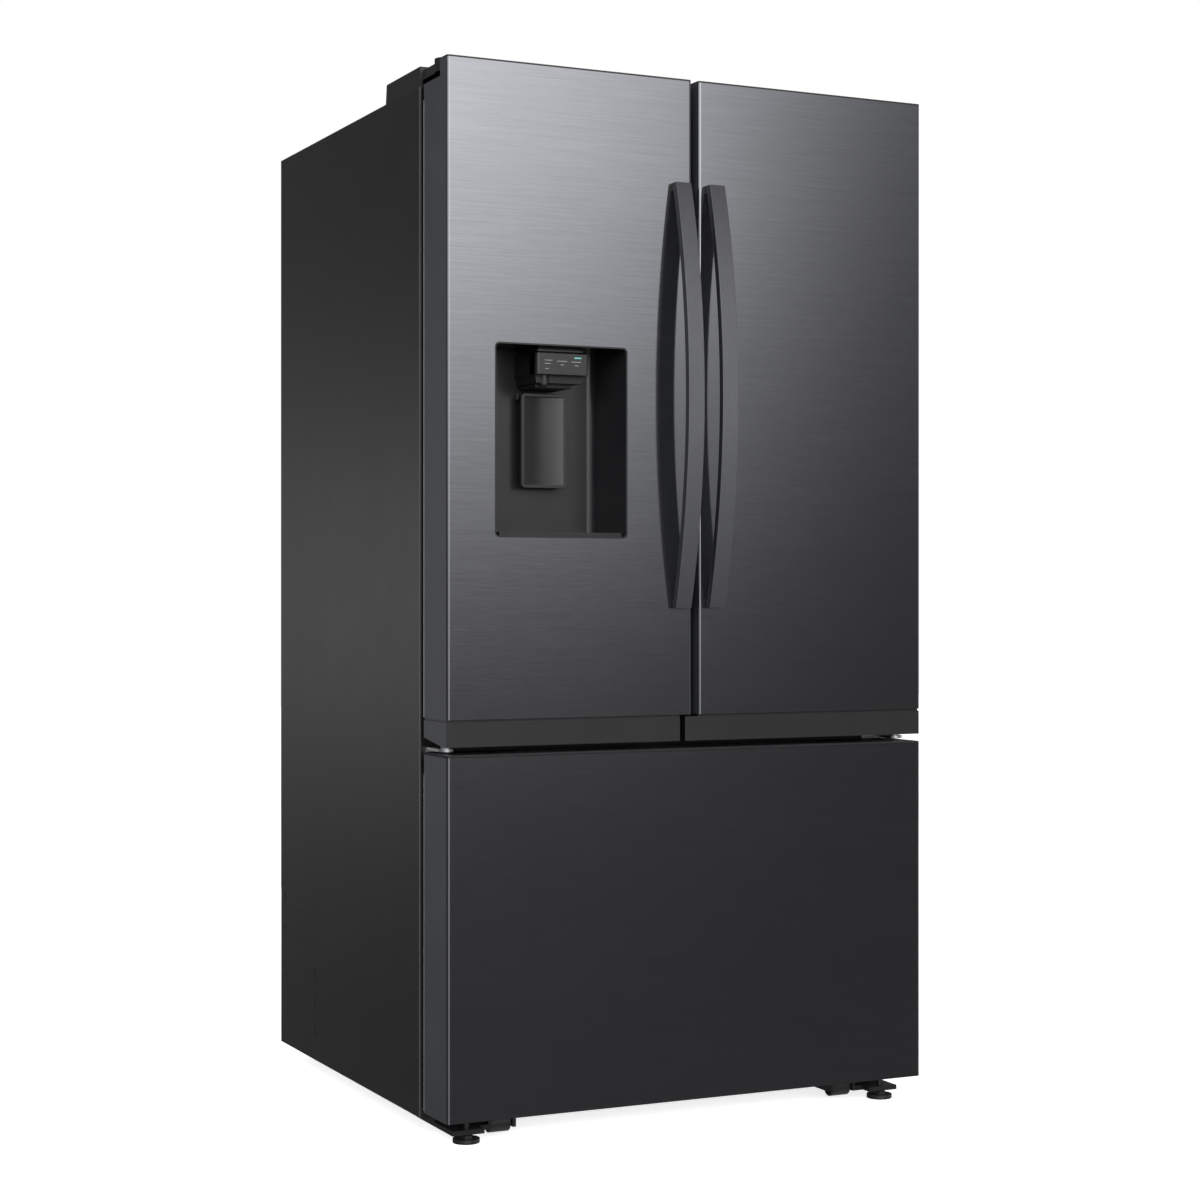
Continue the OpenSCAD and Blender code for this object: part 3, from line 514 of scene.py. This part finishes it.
def refine(node, material, body, slot, width=0.6 * MM, choose=None):
    """A copy of a CAD node with joined faces, rounded edges and smooth shading.

    choose(face) gives the index of the face's material where there is more than one."""
    bm = bmesh.new()
    bm.from_mesh(frame["nodes"][node].data)
    bmesh.ops.remove_doubles(bm, verts=bm.verts, dist=NEAR)
    bmesh.ops.dissolve_limit(bm, angle_limit=math.radians(0.5), verts=bm.verts, edges=bm.edges,
                             delimit=set())
    paint(bm, choose or (lambda face: 0))
    bevel_sharp(bm, width, 38, 2)
    return finish_mesh(bm, node + "_visual", material, body, [node], slot, 32)


# ---------------------------------------------------------------- door skins


def leaf_outline(x0, x1, y0, y1, radius, sheet, steps=8):
    """Plan of a folded sheet: front face, two rounded front edges and two sides, sheet thick."""
    left, right, bend_y = x0 + radius, x1 - radius, y0 + radius
    outer = [(x0, y1), *arc(left, bend_y, radius, 180, steps),
             *arc(right, bend_y, radius, 270, steps), (x1, y1)]
    inner = [(x0 + sheet, y1), *arc(left, bend_y, radius - sheet, 180, steps),
             *arc(right, bend_y, radius - sheet, 270, steps), (x1 - sheet, y1)]
    return outer + list(reversed(inner))


def niche_outline():
    """The niche seen from the front."""
    return round_rect(NICHE[0].x, NICHE[1].x, NICHE[0].z, NICHE[1].z, NICHE_CORNER, 6)


def niche_cutter(y0, y1):
    """Rounded block that opens the front for the dispenser niche."""
    part = bmesh.new()
    add_prism(part, niche_outline(), 1, y0, y1)
    return part


def notch_cutter(side):
    """Box that opens the hinge pocket in the top outer corner of a door."""
    behind_door = FRONT_Y + 200 * MM
    x0, x1 = sorted((side * (HALF_WIDTH - NOTCH_X), side * (HALF_WIDTH + PAST)))
    return box_bm((x0, FRONT_Y + NOTCH_D, NOTCH_Z), (x1, behind_door, DOOR_TOP + 2 * PAST))


def inside_niche(point):
    """Whether a point lies within the niche's outline seen from the front."""
    reach = 1 * MM
    inside_x = NICHE[0].x - reach < point.x < NICHE[1].x + reach
    return inside_x and NICHE[0].z - reach < point.z < NICHE[1].z + reach


def door_skin(node, body, side, niche=False):
    """Folded steel front with its sides; the sides take the darker paint."""
    lo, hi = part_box(node)
    bm = bmesh.new()
    add_prism(bm, leaf_outline(lo.x, hi.x, lo.y, hi.y, EDGE_R, SHEET), 2, lo.z, hi.z)
    cutters = []
    if side:
        cutters.append(notch_cutter(side))
    if niche:
        cutters.append(niche_cutter(lo.y - PAST, lo.y + 2 * PAST))
    if cutters:
        cut(bm, cutters)
    bmesh.ops.remove_doubles(bm, verts=bm.verts, dist=WELD)

    def by_place(face):
        centre = face.calc_center_median()
        if centre.y > FRONT_Y + 0.75 * EDGE_R and abs(face.normal.x) > 0.6:
            return 1
        near_front = centre.y < FRONT_Y + 2 * SHEET
        return 2 if near_front and abs(face.normal.y) < 0.1 and inside_niche(centre) else 0

    paint(bm, by_place)
    obj = finish_mesh(bm, node + "_visual", [STEEL, DOOR_SIDE, NICHE_PLASTIC], body, [node],
                      "door_steel", 30)
    brush_uv(obj)


def handle(node, body):
    """Bowed flat bar with softly rounded long edges, cut square at both ends."""
    lo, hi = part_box(node)
    thick = 13.5 * MM
    foot = 14 * MM
    corner = 1.6 * MM
    ease = 0.8 * MM
    rise = (hi.z - lo.z) / 2
    bow = (hi.y - lo.y) - thick
    radius = (rise * rise + bow * bow) / (2 * bow)
    middle = (lo.z + hi.z) / 2
    centre_y = hi.y - bow + radius

    def face_y(z, r):
        return centre_y - math.sqrt(r * r - (z - middle) ** 2)

    def section(z, back, inset):
        front = face_y(z, radius + thick)
        return round_rect(lo.x + inset, hi.x - inset, front + inset, back - inset, corner, 4)

    steps = 64
    levels = [(lo.z, hi.y, ease), (lo.z + ease, hi.y, 0), (lo.z + foot, hi.y, 0)]
    for k in range(steps + 1):
        z = lo.z + foot + (2 * rise - 2 * foot) * k / steps
        levels.append((z, face_y(z, radius), 0))
    levels += [(hi.z - foot, hi.y, 0), (hi.z - ease, hi.y, 0), (hi.z, hi.y, ease)]
    bm = bmesh.new()
    rings = rings_from(bm, [section(*level) for level in levels], 2, [level[0] for level in levels])
    join_rings(bm, rings)
    bmesh.ops.recalc_face_normals(bm, faces=bm.faces)

    # Front faces take the satin steel; the back a near-white copy as painted light, seen in the door's mirror
    # image, and the sides a near-black copy as painted shade.
    def by_place(face):
        if face.normal.y < -0.3:
            return 0
        return 2 if face.normal.y > 0.8 else 1

    paint(bm, by_place)
    obj = finish_mesh(bm, node + "_visual", [BAR_STEEL, BAR_SIDE_SHADE, BAR_BACK_LIGHT], body, [node],
                      "handle_steel", 50)
    brush_uv(obj)


def drawer_front():
    """Steel drawer front with its cap, whose front part is folded over in steel."""
    door_skin("drawer_skin", "freezer_drawer", 0)
    fold = FRONT_Y + 62 * MM

    def by_place(face):
        return 1 if face.normal.z > 0.9 and face.calc_center_median().y < fold else 0

    refine("drawer_cap", [BLACK, DOOR_SIDE], "freezer_drawer", "trim_plastic", 0.8 * MM, by_place)


def caps(node, body):
    """End caps of a door: the dark top cap and hinge pocket, and the strip below the door."""

    def by_place(face):
        c = face.calc_center_median()
        if c.z > LEFT_SKIN[0].z + 0.1 * MM:
            return 0
        if abs(face.normal.x) > 0.9 and abs(c.x) > HALF_WIDTH - 3 * MM:
            return 2
        return 1 if c.z < STRIP_TOP - 1 * MM and face.normal.y < -0.5 else 3

    refine(node, [HINGE_PLASTIC, STRIP, DOOR_SIDE, BLACK], body, "trim_plastic", 0.5 * MM, by_place)


# ---------------------------------------------------------------- dispenser


def niche_plan():
    """Plan of the niche: side walls close in towards the back, into rounded rear corners."""
    taper = 12 * MM
    bend = 14 * MM
    lip_y = FRONT_Y + 4 * MM
    open_y = FRONT_Y - PAST
    x0, x1 = NICHE[0].x + NICHE_WALL, NICHE[1].x - NICHE_WALL
    bend_y = NICHE[1].y - NICHE_WALL - bend
    return [(x1, open_y), (x1, lip_y), *arc(x1 - taper - bend, bend_y, bend, 0, 12),
            *arc(x0 + taper + bend, bend_y, bend, 90, 12), (x0, lip_y), (x0, open_y)]


def niche():
    """Moulded niche: a shell with smooth walls, floor and ceiling, and ears for the paddle pins."""
    lo, hi = NICHE
    floor_z, ceiling_z = lo.z + NICHE_WALL, hi.z - NICHE_WALL
    bm = bmesh.new()
    add_prism(bm, niche_outline(), 1, FRONT_Y + NICHE_SETBACK, hi.y)
    hollow = bmesh.new()
    add_prism(hollow, niche_plan(), 2, floor_z, ceiling_z)
    window = bmesh.new()
    add_prism(window, round_rect(lo.x + NICHE_WALL, hi.x - NICHE_WALL, floor_z, ceiling_z, 6 * MM, 6),
              1, FRONT_Y - 2 * PAST, hi.y + PAST)
    cut(bm, [intersect(hollow, window)])
    ear_inward, ear_outward = 2 * MM, 0.8 * MM
    ear_y = PADDLE[1].y - 8 * MM
    ear_top = PADDLE[1].z
    ear_low = ear_top - 11 * MM
    for side, pin in ((-1, PADDLE[0].x), (1, PADDLE[1].x)):
        x0, x1 = sorted((pin - side * ear_inward, pin + side * ear_outward))
        add_soft_box(bm, (x0, ear_y, ear_low), (x1, hi.y - 1 * MM, ear_top), 0.6 * MM)
    finish_mesh(bm, "dispenser_housing_visual", NICHE_PLASTIC, "left_door", ["dispenser_housing"],
                "niche_plastic", 32)


# The display's lower and upper edge.
FACE_LOW = PANEL[0].z + 21 * MM
FACE_HIGH = PANEL[1].z - 11.5 * MM

# Blank dashes where the keys are: start, end and distance below the top of the display, in millimetres.
KEY_MARKS = [(14, 28, 11), (14, 25, 16.5), (15, 22, 25), (37, 55, 12), (43, 49, 18), (63, 80, 12.5),
             (69, 76, 18.5)]


def nozzle_shroud():
    """Block under the display, narrower at its foot and bored for the nozzle."""
    lo, hi = PANEL
    top = FACE_LOW + 1 * MM
    foot = lo.z + 7 * MM
    right = hi.x - 1 * MM
    outline = [(lo.x + 2 * MM, top), (lo.x + 4 * MM, foot), (hi.x - 9 * MM, foot),
               (right, FACE_LOW - 2 * MM), (right, top)]
    block = bmesh.new()
    add_prism(block, outline, 1, lo.y + 12 * MM, hi.y)
    bevel_sharp(block, 0.8 * MM, 30)
    nozzle_lo, nozzle_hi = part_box("dispenser_nozzle")
    bore = 9.3 * MM
    bore_length = 30 * MM
    centre = ((nozzle_lo.x + nozzle_hi.x) / 2, (nozzle_lo.y + nozzle_hi.y) / 2, lo.z - 2 * MM)
    well = bmesh.new()
    add_lathe(well, [(bore, 0), (bore, bore_length)], centre, 2, 40)
    cut(block, [well])
    return block


def dispenser_head():
    """Display face on a dark block, with a brow and a neck above it and the nozzle's shroud below."""
    lo, hi = PANEL
    corner = 4 * MM
    face_depth = 30 * MM
    block_setback = 5 * MM
    block_inset = 0.3 * MM
    brow_low, brow_high = hi.z - 8 * MM, hi.z - 5 * MM
    neck_inset = 8 * MM
    chute_top = lo.z + 8 * MM
    bm = bmesh.new()
    face = leaf_block(lo.x, hi.x, lo.y, lo.y + face_depth, corner)
    add_prism(bm, face, 2, FACE_LOW, FACE_HIGH, 1)
    back = leaf_block(lo.x, hi.x, lo.y + block_setback, hi.y, corner)
    add_prism(bm, back, 2, FACE_LOW + block_inset, FACE_HIGH - block_inset, 0)
    brow = leaf_block(lo.x + 2 * MM, hi.x - 4 * MM, lo.y + 4 * MM, hi.y, 6 * MM)
    add_prism(bm, brow, 2, brow_low, brow_high, 2)
    neck = leaf_block(lo.x + neck_inset, hi.x - neck_inset, lo.y + 14 * MM, hi.y, corner)
    add_prism(bm, neck, 2, FACE_HIGH - 1 * MM, hi.z, 0)
    merge(bm, nozzle_shroud(), 0)
    add_soft_box(bm, (lo.x + 8 * MM, lo.y + 24 * MM, lo.z), (hi.x - 20 * MM, hi.y, chute_top), 1 * MM)
    bevel_sharp(bm, 0.5 * MM, 50)
    finish_mesh(bm, "dispenser_head", [BLACK, DISPLAY, STRIP], "left_door", ["dispenser_panel"],
                "panel_plastic", 40)


def display_marks():
    """The small lit bar and the blank key marks, each a little proud of the display."""
    lo, hi = PANEL
    lamp = bmesh.new()
    add_soft_box(lamp, (hi.x - 26 * MM, lo.y - 0.3 * MM, FACE_HIGH - 7.6 * MM),
                 (hi.x - 13.5 * MM, lo.y + 0.5 * MM, FACE_HIGH - 5.2 * MM), 0.3 * MM)
    finish_mesh(lamp, "display_lamp_bar", LAMP, "left_door", (), "panel_plastic")
    mark_height = 1.1 * MM
    marks = bmesh.new()
    for start, end, below in KEY_MARKS:
        top = FACE_HIGH - below * MM
        add_soft_box(marks, (lo.x + start * MM, lo.y - 0.15 * MM, top - mark_height),
                     (lo.x + end * MM, lo.y + 0.3 * MM, top), 0.1 * MM, 0, 1)
    finish_mesh(marks, "display_key_marks", MARKS, "left_door", (), "panel_plastic")


def leaf_block(x0, x1, y0, y1, radius, steps=6):
    """Plan of a block whose two front corners are rounded."""
    return [(x1, y1), (x0, y1), *arc(x0 + radius, y0 + radius, radius, 180, steps),
            *arc(x1 - radius, y0 + radius, radius, 270, steps)]


def paddle():
    """Push plate with a rim round a shallow hollow, and the pin bar behind its top."""
    lo, hi = PADDLE
    pin_reach = 3.5 * MM
    pin_radius = 2.4 * MM
    pin_y, pin_z = hi.y - 2.5 * MM, hi.z - 6 * MM
    thick = 8 * MM
    rim = 5.5 * MM
    step = 1.3 * MM
    hollow_depth = 4 * MM
    hollow_steps = 24
    x0, x1 = lo.x + pin_reach, hi.x - pin_reach
    bm = bmesh.new()
    add_prism(bm, round_rect(x0, x1, lo.z, hi.z, 7 * MM, 6), 1, lo.y, lo.y + thick)
    middle = (x0 + x1) / 2
    chord = (x1 - x0) / 2 - rim
    radius = (chord * chord + hollow_depth ** 2) / (2 * hollow_depth)
    swing = math.asin(chord / radius)
    centre_y = lo.y + step + hollow_depth - radius
    bowl = []
    for k in range(hollow_steps + 1):
        t = -swing + 2 * swing * k / hollow_steps
        bowl.append((middle + radius * math.sin(t), centre_y + radius * math.cos(t)))
    open_y = lo.y - 2 * MM
    bowl += [(middle + chord, open_y), (middle - chord, open_y)]
    hollow = bmesh.new()
    add_prism(hollow, bowl, 2, lo.z + rim, hi.z - rim)
    cut(bm, [hollow])
    bevel_sharp(bm, 0.9 * MM, 40, 3)
    add_soft_box(bm, (x0 + 4 * MM, lo.y + thick - 1 * MM, hi.z - 9 * MM),
                 (x1 - 4 * MM, hi.y - 0.5 * MM, hi.z - 3 * MM), 0.6 * MM)
    half_pin = (x1 - x0) / 2 + pin_reach
    add_lathe(bm, [(pin_radius, -half_pin), (pin_radius, half_pin)], (middle, pin_y, pin_z), 0, 24)
    finish_mesh(bm, "dispenser_paddle_visual", PADDLE_PLASTIC, "paddle", ["dispenser_paddle"],
                "niche_plastic", 32)


# ---------------------------------------------------------------- case


# Pressed panels: z from and to, depth behind the door faces from and to, in millimetres.
PRESSED = [(245, 263, 630, 846), (299, 322, 630, 846), (77, 95, 621, 667), (129, 148, 621, 667),
           (179, 200, 621, 667)]
PRESS_DEPTH = 0.7 * MM


def case():
    """Dark painted wrapper with a rounded front flange and pressed panels low at the rear; the front strip of
    each side is a lighter copy of the paint, a painted highlight along the flange.
    """
    lo, hi = SHELL
    flange = 20 * MM
    bm = bmesh.new()
    add_box(bm, lo, hi)
    inner = box_bm((lo.x + SHEET, lo.y + SHEET, lo.z - PAST), (hi.x - SHEET, hi.y + PAST, hi.z - SHEET))
    mouth = box_bm((lo.x + flange, lo.y - PAST, lo.z - PAST), (hi.x - flange, lo.y + PAST, hi.z - flange))
    cut(bm, [inner, mouth])
    cutters = []
    for z0, z1, d0, d1 in PRESSED:
        for x in (lo.x, hi.x):
            part = bmesh.new()
            outline = round_rect(FRONT_Y + d0 * MM, FRONT_Y + d1 * MM, z0 * MM, z1 * MM, 6 * MM)
            add_prism(part, outline, 0, x - PRESS_DEPTH, x + PRESS_DEPTH)
            cutters.append(part)
    cut(bm, cutters)
    bmesh.ops.remove_doubles(bm, verts=bm.verts, dist=WELD)
    bmesh.ops.dissolve_limit(bm, angle_limit=0.001, verts=bm.verts, edges=bm.edges, delimit=set())

    def outer_front_edge(edge):
        ends = [v.co for v in edge.verts]
        on_front = all(c.y < lo.y + NEAR for c in ends)
        on_side_or_top = all(abs(abs(c.x) - HALF_WIDTH) < NEAR or abs(c.z - CASE_TOP) < NEAR for c in ends)
        return on_front and on_side_or_top

    # Depth of the painted highlight behind the front of the case.
    edge_highlight_y = lo.y + 7 * MM
    bmesh.ops.bisect_plane(bm, geom=bm.verts[:] + bm.edges[:] + bm.faces[:], plane_co=(0, edge_highlight_y, 0),
                           plane_no=(0, 1, 0))
    bevel_sharp(bm, 1.4 * MM, 60, 4, outer_front_edge)

    # The front strip of each side takes the lighter paint as a painted highlight.
    def by_place(face):
        outside = max(abs(v.co.x) for v in face.verts) > HALF_WIDTH - 0.1 * MM
        return 1 if outside and abs(face.normal.x) > 0.1 and face.calc_center_median().y < edge_highlight_y else 0

    paint(bm, by_place)
    finish_mesh(bm, "cabinet_shell_visual", [CASE, CASE_EDGE_HIGHLIGHT], "cabinet", ["cabinet_shell"], "case_paint")


# Boxes of a hinge tab: inner and outer side from the pivot, front and rear depth, height, in millimetres.
TAB_BOXES = [(-10, 12, 78, 116, 2), (-6, 10, 82, 96, 7), (2, 14, 107, 116, 12)]


def hinge_tab(side):
    """Zinc tab and stop on a middle hinge, below the strip. It stands for no CAD node."""
    pivot = HALF_WIDTH - 20 * MM
    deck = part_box("mid_hinges")[0].z + 5 * MM
    bm = bmesh.new()
    for inner, outer, d0, d1, rise in TAB_BOXES:
        x0, x1 = sorted((side * (pivot + inner * MM), side * (pivot + outer * MM)))
        add_soft_box(bm, (x0, FRONT_Y + d0 * MM, deck), (x1, FRONT_Y + d1 * MM, deck + rise * MM),
                     0.6 * MM)
    name = "left_hinge_tab" if side < 0 else "right_hinge_tab"
    finish_mesh(bm, name, ZINC, "cabinet", (), "zinc_steel")


# ---------------------------------------------------------------- build

# CAD nodes shown as they are, with rounded edges: node, material, body, slot, rounding in millimetres.
ROUNDED = [
    ("dispenser_nozzle", STRIP, "left_door", "niche_plastic", 0.4),
    ("drip_tray", NICHE_PLASTIC, "left_door", "niche_plastic", 0.4),
    ("hinge_cover_left", HINGE_PLASTIC, "cabinet", "trim_plastic", 1.2),
    ("hinge_cover_right", HINGE_PLASTIC, "cabinet", "trim_plastic", 1.2),
    ("foot_left", FOOT, "foot_left", "foot_plastic", 0.8),
    ("foot_right", FOOT, "foot_right", "foot_plastic", 0.8),
    ("base_frame", CHASSIS, "cabinet", "chassis_steel", 0.5),
    ("top_hinges", CHASSIS, "cabinet", "zinc_steel", 0.5),
    ("mid_hinges", ZINC, "cabinet", "zinc_steel", 0.5),
    ("left_door_inner", WHITE, "left_door", "white_liner", 1.5),
    ("right_door_inner", WHITE, "right_door", "white_liner", 1.5),
    ("drawer_inner", WHITE, "freezer_drawer", "white_liner", 1.5),
    ("fridge_liner", WHITE, "cabinet", "white_liner", 0.6),
    ("freezer_liner", WHITE, "cabinet", "white_liner", 0.6),
    ("flipper_mullion", WHITE, "flipper", "white_liner", 1.0),
    ("ice_maker", WHITE, "left_door", "white_liner", 1.5),
    ("evaporator_cover", WHITE, "cabinet", "white_liner", 1.0),
    ("freezer_basket", WHITE, "freezer_drawer", "white_liner", 0.8),
    ("water_filter", LENS, "cabinet", "lens_plastic", 1.0),
    ("light_lens", LENS, "cabinet", "lens_plastic", 0.6),
    ("crisper_left", BIN, "crisper_left", "clear_plastic", 0.8),
    ("crisper_right", BIN, "crisper_right", "clear_plastic", 0.8),
    ("pantry_drawer", BIN, "pantry_drawer", "clear_plastic", 0.8),
    ("freezer_tray", BIN, "freezer_tray", "clear_plastic", 0.8),
    ("left_bin", BIN, "left_door", "clear_plastic", 0.8),
    ("right_bin_upper", BIN, "right_door", "clear_plastic", 0.8),
    ("right_bin_lower", BIN, "right_door", "clear_plastic", 0.8),
    ("shelf_left", GLASS, "cabinet", "shelf_glass", 0.8),
    ("shelf_right", GLASS, "cabinet", "shelf_glass", 0.8),
    ("crisper_shelf", GLASS, "cabinet", "shelf_glass", 0.8),
    ("left_gasket", RUBBER, "left_door", "gasket_rubber", 1.0),
    ("right_gasket", RUBBER, "right_door", "gasket_rubber", 1.0),
    ("drawer_gasket", RUBBER, "freezer_drawer", "gasket_rubber", 1.0),
    ("compressor", MOTOR, "cabinet", "motor_black", 0.8),
    ("drain_pan", HINGE_PLASTIC, "cabinet", "trim_plastic", 0.8),
    ("back_panel", SHEET_STEEL, "cabinet", "back_steel", 0.4),
    ("machine_cover", SHEET_STEEL, "cabinet", "back_steel", 0.3),
    ("rails_fixed", ZINC, "cabinet", "zinc_steel", 0.4),
    ("rails_middle", ZINC, "slide_rails", "zinc_steel", 0.4),
    # The mullion rail is zinc steel; it takes the black plastic as painted shade for the dark gap it shows
    # through.
    ("mullion_rail", BLACK, "cabinet", "zinc_steel", 0.4),
    ("front_rollers", FOOT, "front_rollers", "foot_plastic", 0.6),
    ("rear_rollers", FOOT, "rear_rollers", "foot_plastic", 0.6),
]

door_skin("left_door_skin", "left_door", -1, niche=True)
door_skin("right_door_skin", "right_door", 1)
drawer_front()
caps("left_door_caps", "left_door")
caps("right_door_caps", "right_door")
handle("left_handle", "left_door")
handle("right_handle", "right_door")
case()
niche()
dispenser_head()
display_marks()
paddle()

for node, material, body, slot, rounding in ROUNDED:
    refine(node, material, body, slot, rounding * MM)
hinge_tab(-1)
hinge_tab(1)
for node, material in (("cabinet_foam", FOAM), ("condenser", COIL), ("evaporator", COIL),
                       ("condenser_fan", FAN), ("evaporator_fan", FAN)):
    dress(node, material)


# ---------------------------------------------------------------- scene


class Sky:
    """Small helper that builds the studio's brightness as a function of direction."""

    def __init__(self, tree):
        self.tree = tree
        coord = tree.nodes.new("ShaderNodeTexCoord")
        split = tree.nodes.new("ShaderNodeSeparateXYZ")
        tree.links.new(coord.outputs["Generated"], split.inputs[0])
        self.axes = split.outputs

    def profile(self, axis, stops):
        """Brightness along one axis of the direction, through the stops (place -1 to 1, value)."""
        return follow(self.tree, self.axes[axis], -1, 1, [((place + 1) / 2, value) for place, value in stops])

    def math(self, operation, a, b):
        """One math node; a and b are sockets or plain values."""
        node = self.tree.nodes.new("ShaderNodeMath")
        node.operation = operation
        for socket, value in zip(node.inputs, (a, b)):
            if isinstance(value, (int, float)):
                socket.default_value = value
            else:
                self.tree.links.new(value, socket)
        return node.outputs[0]

    def product(self, strength, *parts):
        """The strength times all the parts."""
        result = strength
        for part in parts:
            result = self.math("MULTIPLY", result, part)
        return result

    def total(self, *parts):
        """The sum of the parts."""
        result = parts[0]
        for part in parts[1:]:
            result = self.math("ADD", result, part)
        return result


# Strengths of the soft boxes in the studio's mirror image.
BROAD_BOX = 3.03
SIDE_STRIP = 2.0
REAR_GLOW = 0.66
RIGHT_WALL = 0.45


def world():
    """White behind the object; in its reflections a dim studio with soft boxes."""
    w = bpy.data.worlds.new("studio")
    bpy.context.scene.world = w
    w.use_nodes = True
    tree = w.node_tree
    tree.nodes.clear()
    sky = Sky(tree)
    # Broad soft box up on the left front: falls off downwards and to the right.
    front = sky.profile("Y", [(-1, 1), (-0.3, 1), (0.1, 0)])
    height = sky.profile("Z", [(-0.10, 0), (-0.045, 0.018), (-0.02, 0.045), (0.014, 0.118),
                               (0.065, 0.32), (0.116, 0.55), (0.15, 0.72), (0.21, 1), (0.42, 1),
                               (0.52, 0.55), (0.62, 0.15), (0.75, 0.03), (1, 0.02)])
    across = sky.profile("X", [(-0.3, 0.4), (0.1, 0.8), (0.34, 1), (0.377, 0.93), (0.416, 0.78),
                               (0.447, 0.62), (0.463, 0.51), (0.492, 0.31), (0.517, 0.18),
                               (0.544, 0.09), (0.62, 0.03), (1, 0.02)])
    broad = sky.product(BROAD_BOX, height, across, front)
    # Tall strip box at the far left, seen only in edges.
    strip_height = sky.profile("Z", [(-0.6, 0.1), (-0.2, 0.4), (0.2, 1), (0.5, 0.8), (0.8, 0.2)])
    strip_across = sky.profile("X", [(-0.7, 0), (-0.5, 0.6), (-0.2, 0.8), (0, 1), (0.2, 0.3),
                                     (0.33, 0)])
    strip = sky.product(SIDE_STRIP, strip_height, strip_across, front)
    # Soft glow behind on the left, mirrored by the side of the case.
    rear = sky.profile("Y", [(0.5, 0), (0.85, 1)])
    glow_height = sky.profile("Z", [(-0.14, 0), (-0.08, 0.3), (-0.03, 1), (0.03, 1),
                                    (0.08, 0.3), (0.15, 0)])
    glow_across = sky.profile("X", [(-0.6, 0.2), (-0.42, 1), (-0.37, 1), (-0.32, 0.45),
                                    (-0.27, 0.15), (-0.2, 0)])
    glow = sky.product(REAR_GLOW, glow_height, glow_across, rear)
    # Dim room with a pale floor, and a broad soft wall on the right.
    room = sky.profile("Z", [(-1, 0.5), (-0.5, 0.35), (-0.32, 0.11), (-0.2, 0.105), (0.2, 0.11),
                             (1, 0.5)])
    wall = sky.product(RIGHT_WALL, sky.profile("X", [(0.66, 0), (0.95, 1)]))
    dim = tree.nodes.new("ShaderNodeBackground")
    tree.links.new(sky.total(broad, strip, glow, room, wall), dim.inputs["Color"])
    white = tree.nodes.new("ShaderNodeBackground")
    white.inputs["Color"].default_value = (1, 1, 1, 1)
    path = tree.nodes.new("ShaderNodeLightPath")
    mix = tree.nodes.new("ShaderNodeMixShader")
    tree.links.new(path.outputs["Is Camera Ray"], mix.inputs["Fac"])
    tree.links.new(dim.outputs[0], mix.inputs[1])
    tree.links.new(white.outputs[0], mix.inputs[2])
    out = tree.nodes.new("ShaderNodeOutputWorld")
    tree.links.new(mix.outputs[0], out.inputs["Surface"])


def floor():
    """Large pale floor just below the feet. It throws no light on the object and isn't mirrored in it."""
    half_size = 14
    drop = 0.5 * MM
    mat, tree, bsdf = shader("studio_floor")
    tree.links.new(ramp(tree, noise(tree, 1.5), 0.93, 0.95), bsdf.inputs["Base Color"])
    bsdf.inputs["Roughness"].default_value = 0.7
    bsdf.inputs["Emission Color"].default_value = (1, 1, 1, 1)
    bsdf.inputs["Emission Strength"].default_value = 0.78
    bm = bmesh.new()
    bmesh.ops.create_grid(bm, x_segments=8, y_segments=8, size=half_size)
    mesh = bpy.data.meshes.new("floor")
    bm.to_mesh(mesh)
    bm.free()
    obj = bpy.data.objects.new("floor", mesh)
    obj.location.z = -drop
    mesh.materials.append(mat)
    bpy.context.scene.collection.objects.link(obj)
    obj.visible_glossy = False
    obj.visible_diffuse = False


# Soft boxes: name, place in metres and power in watts. All look at the middle of the object.
SOFTBOXES = [("key_softbox", (-2.6, -3.2, 3.2), 45), ("fill_softbox", (3.0, -2.5, 2.0), 18),
             ("left_softbox", (-4.0, 1.0, 1.6), 14), ("rear_softbox", (2.0, 4.0, 2.6), 60)]
SOFTBOX_SIZE = 2.5
LOOKED_AT = Vector((0, 0, 0.9))


def area_light(name, place, power):
    """Soft box that lights matt surfaces and leaves no mirror image."""
    data = bpy.data.lights.new(name, "AREA")
    data.shape = "RECTANGLE"
    data.size = SOFTBOX_SIZE
    data.size_y = SOFTBOX_SIZE
    data.energy = power
    obj = bpy.data.objects.new(name, data)
    obj.location = place
    obj.rotation_euler = (LOOKED_AT - Vector(place)).to_track_quat("-Z", "Y").to_euler()
    obj.visible_glossy = False
    bpy.context.scene.collection.objects.link(obj)


def camera():
    """The photograph's viewpoint: level, 25.5 degrees to the left of straight on."""
    place = (-1.8692, -3.9403, 0.904)
    heading = math.radians(-25.548)
    level = math.radians(90)
    data = bpy.data.cameras.new("camera")
    data.lens = 70.40
    data.sensor_width = 36
    data.shift_y = -0.00535
    obj = bpy.data.objects.new("camera", data)
    obj.location = place
    obj.rotation_euler = (level, 0, heading)
    bpy.context.scene.collection.objects.link(obj)
    bpy.context.scene.camera = obj


world()
floor()
for name, place, power in SOFTBOXES:
    area_light(name, place, power)
camera()
bpy.context.scene.view_settings.view_transform = "Standard"
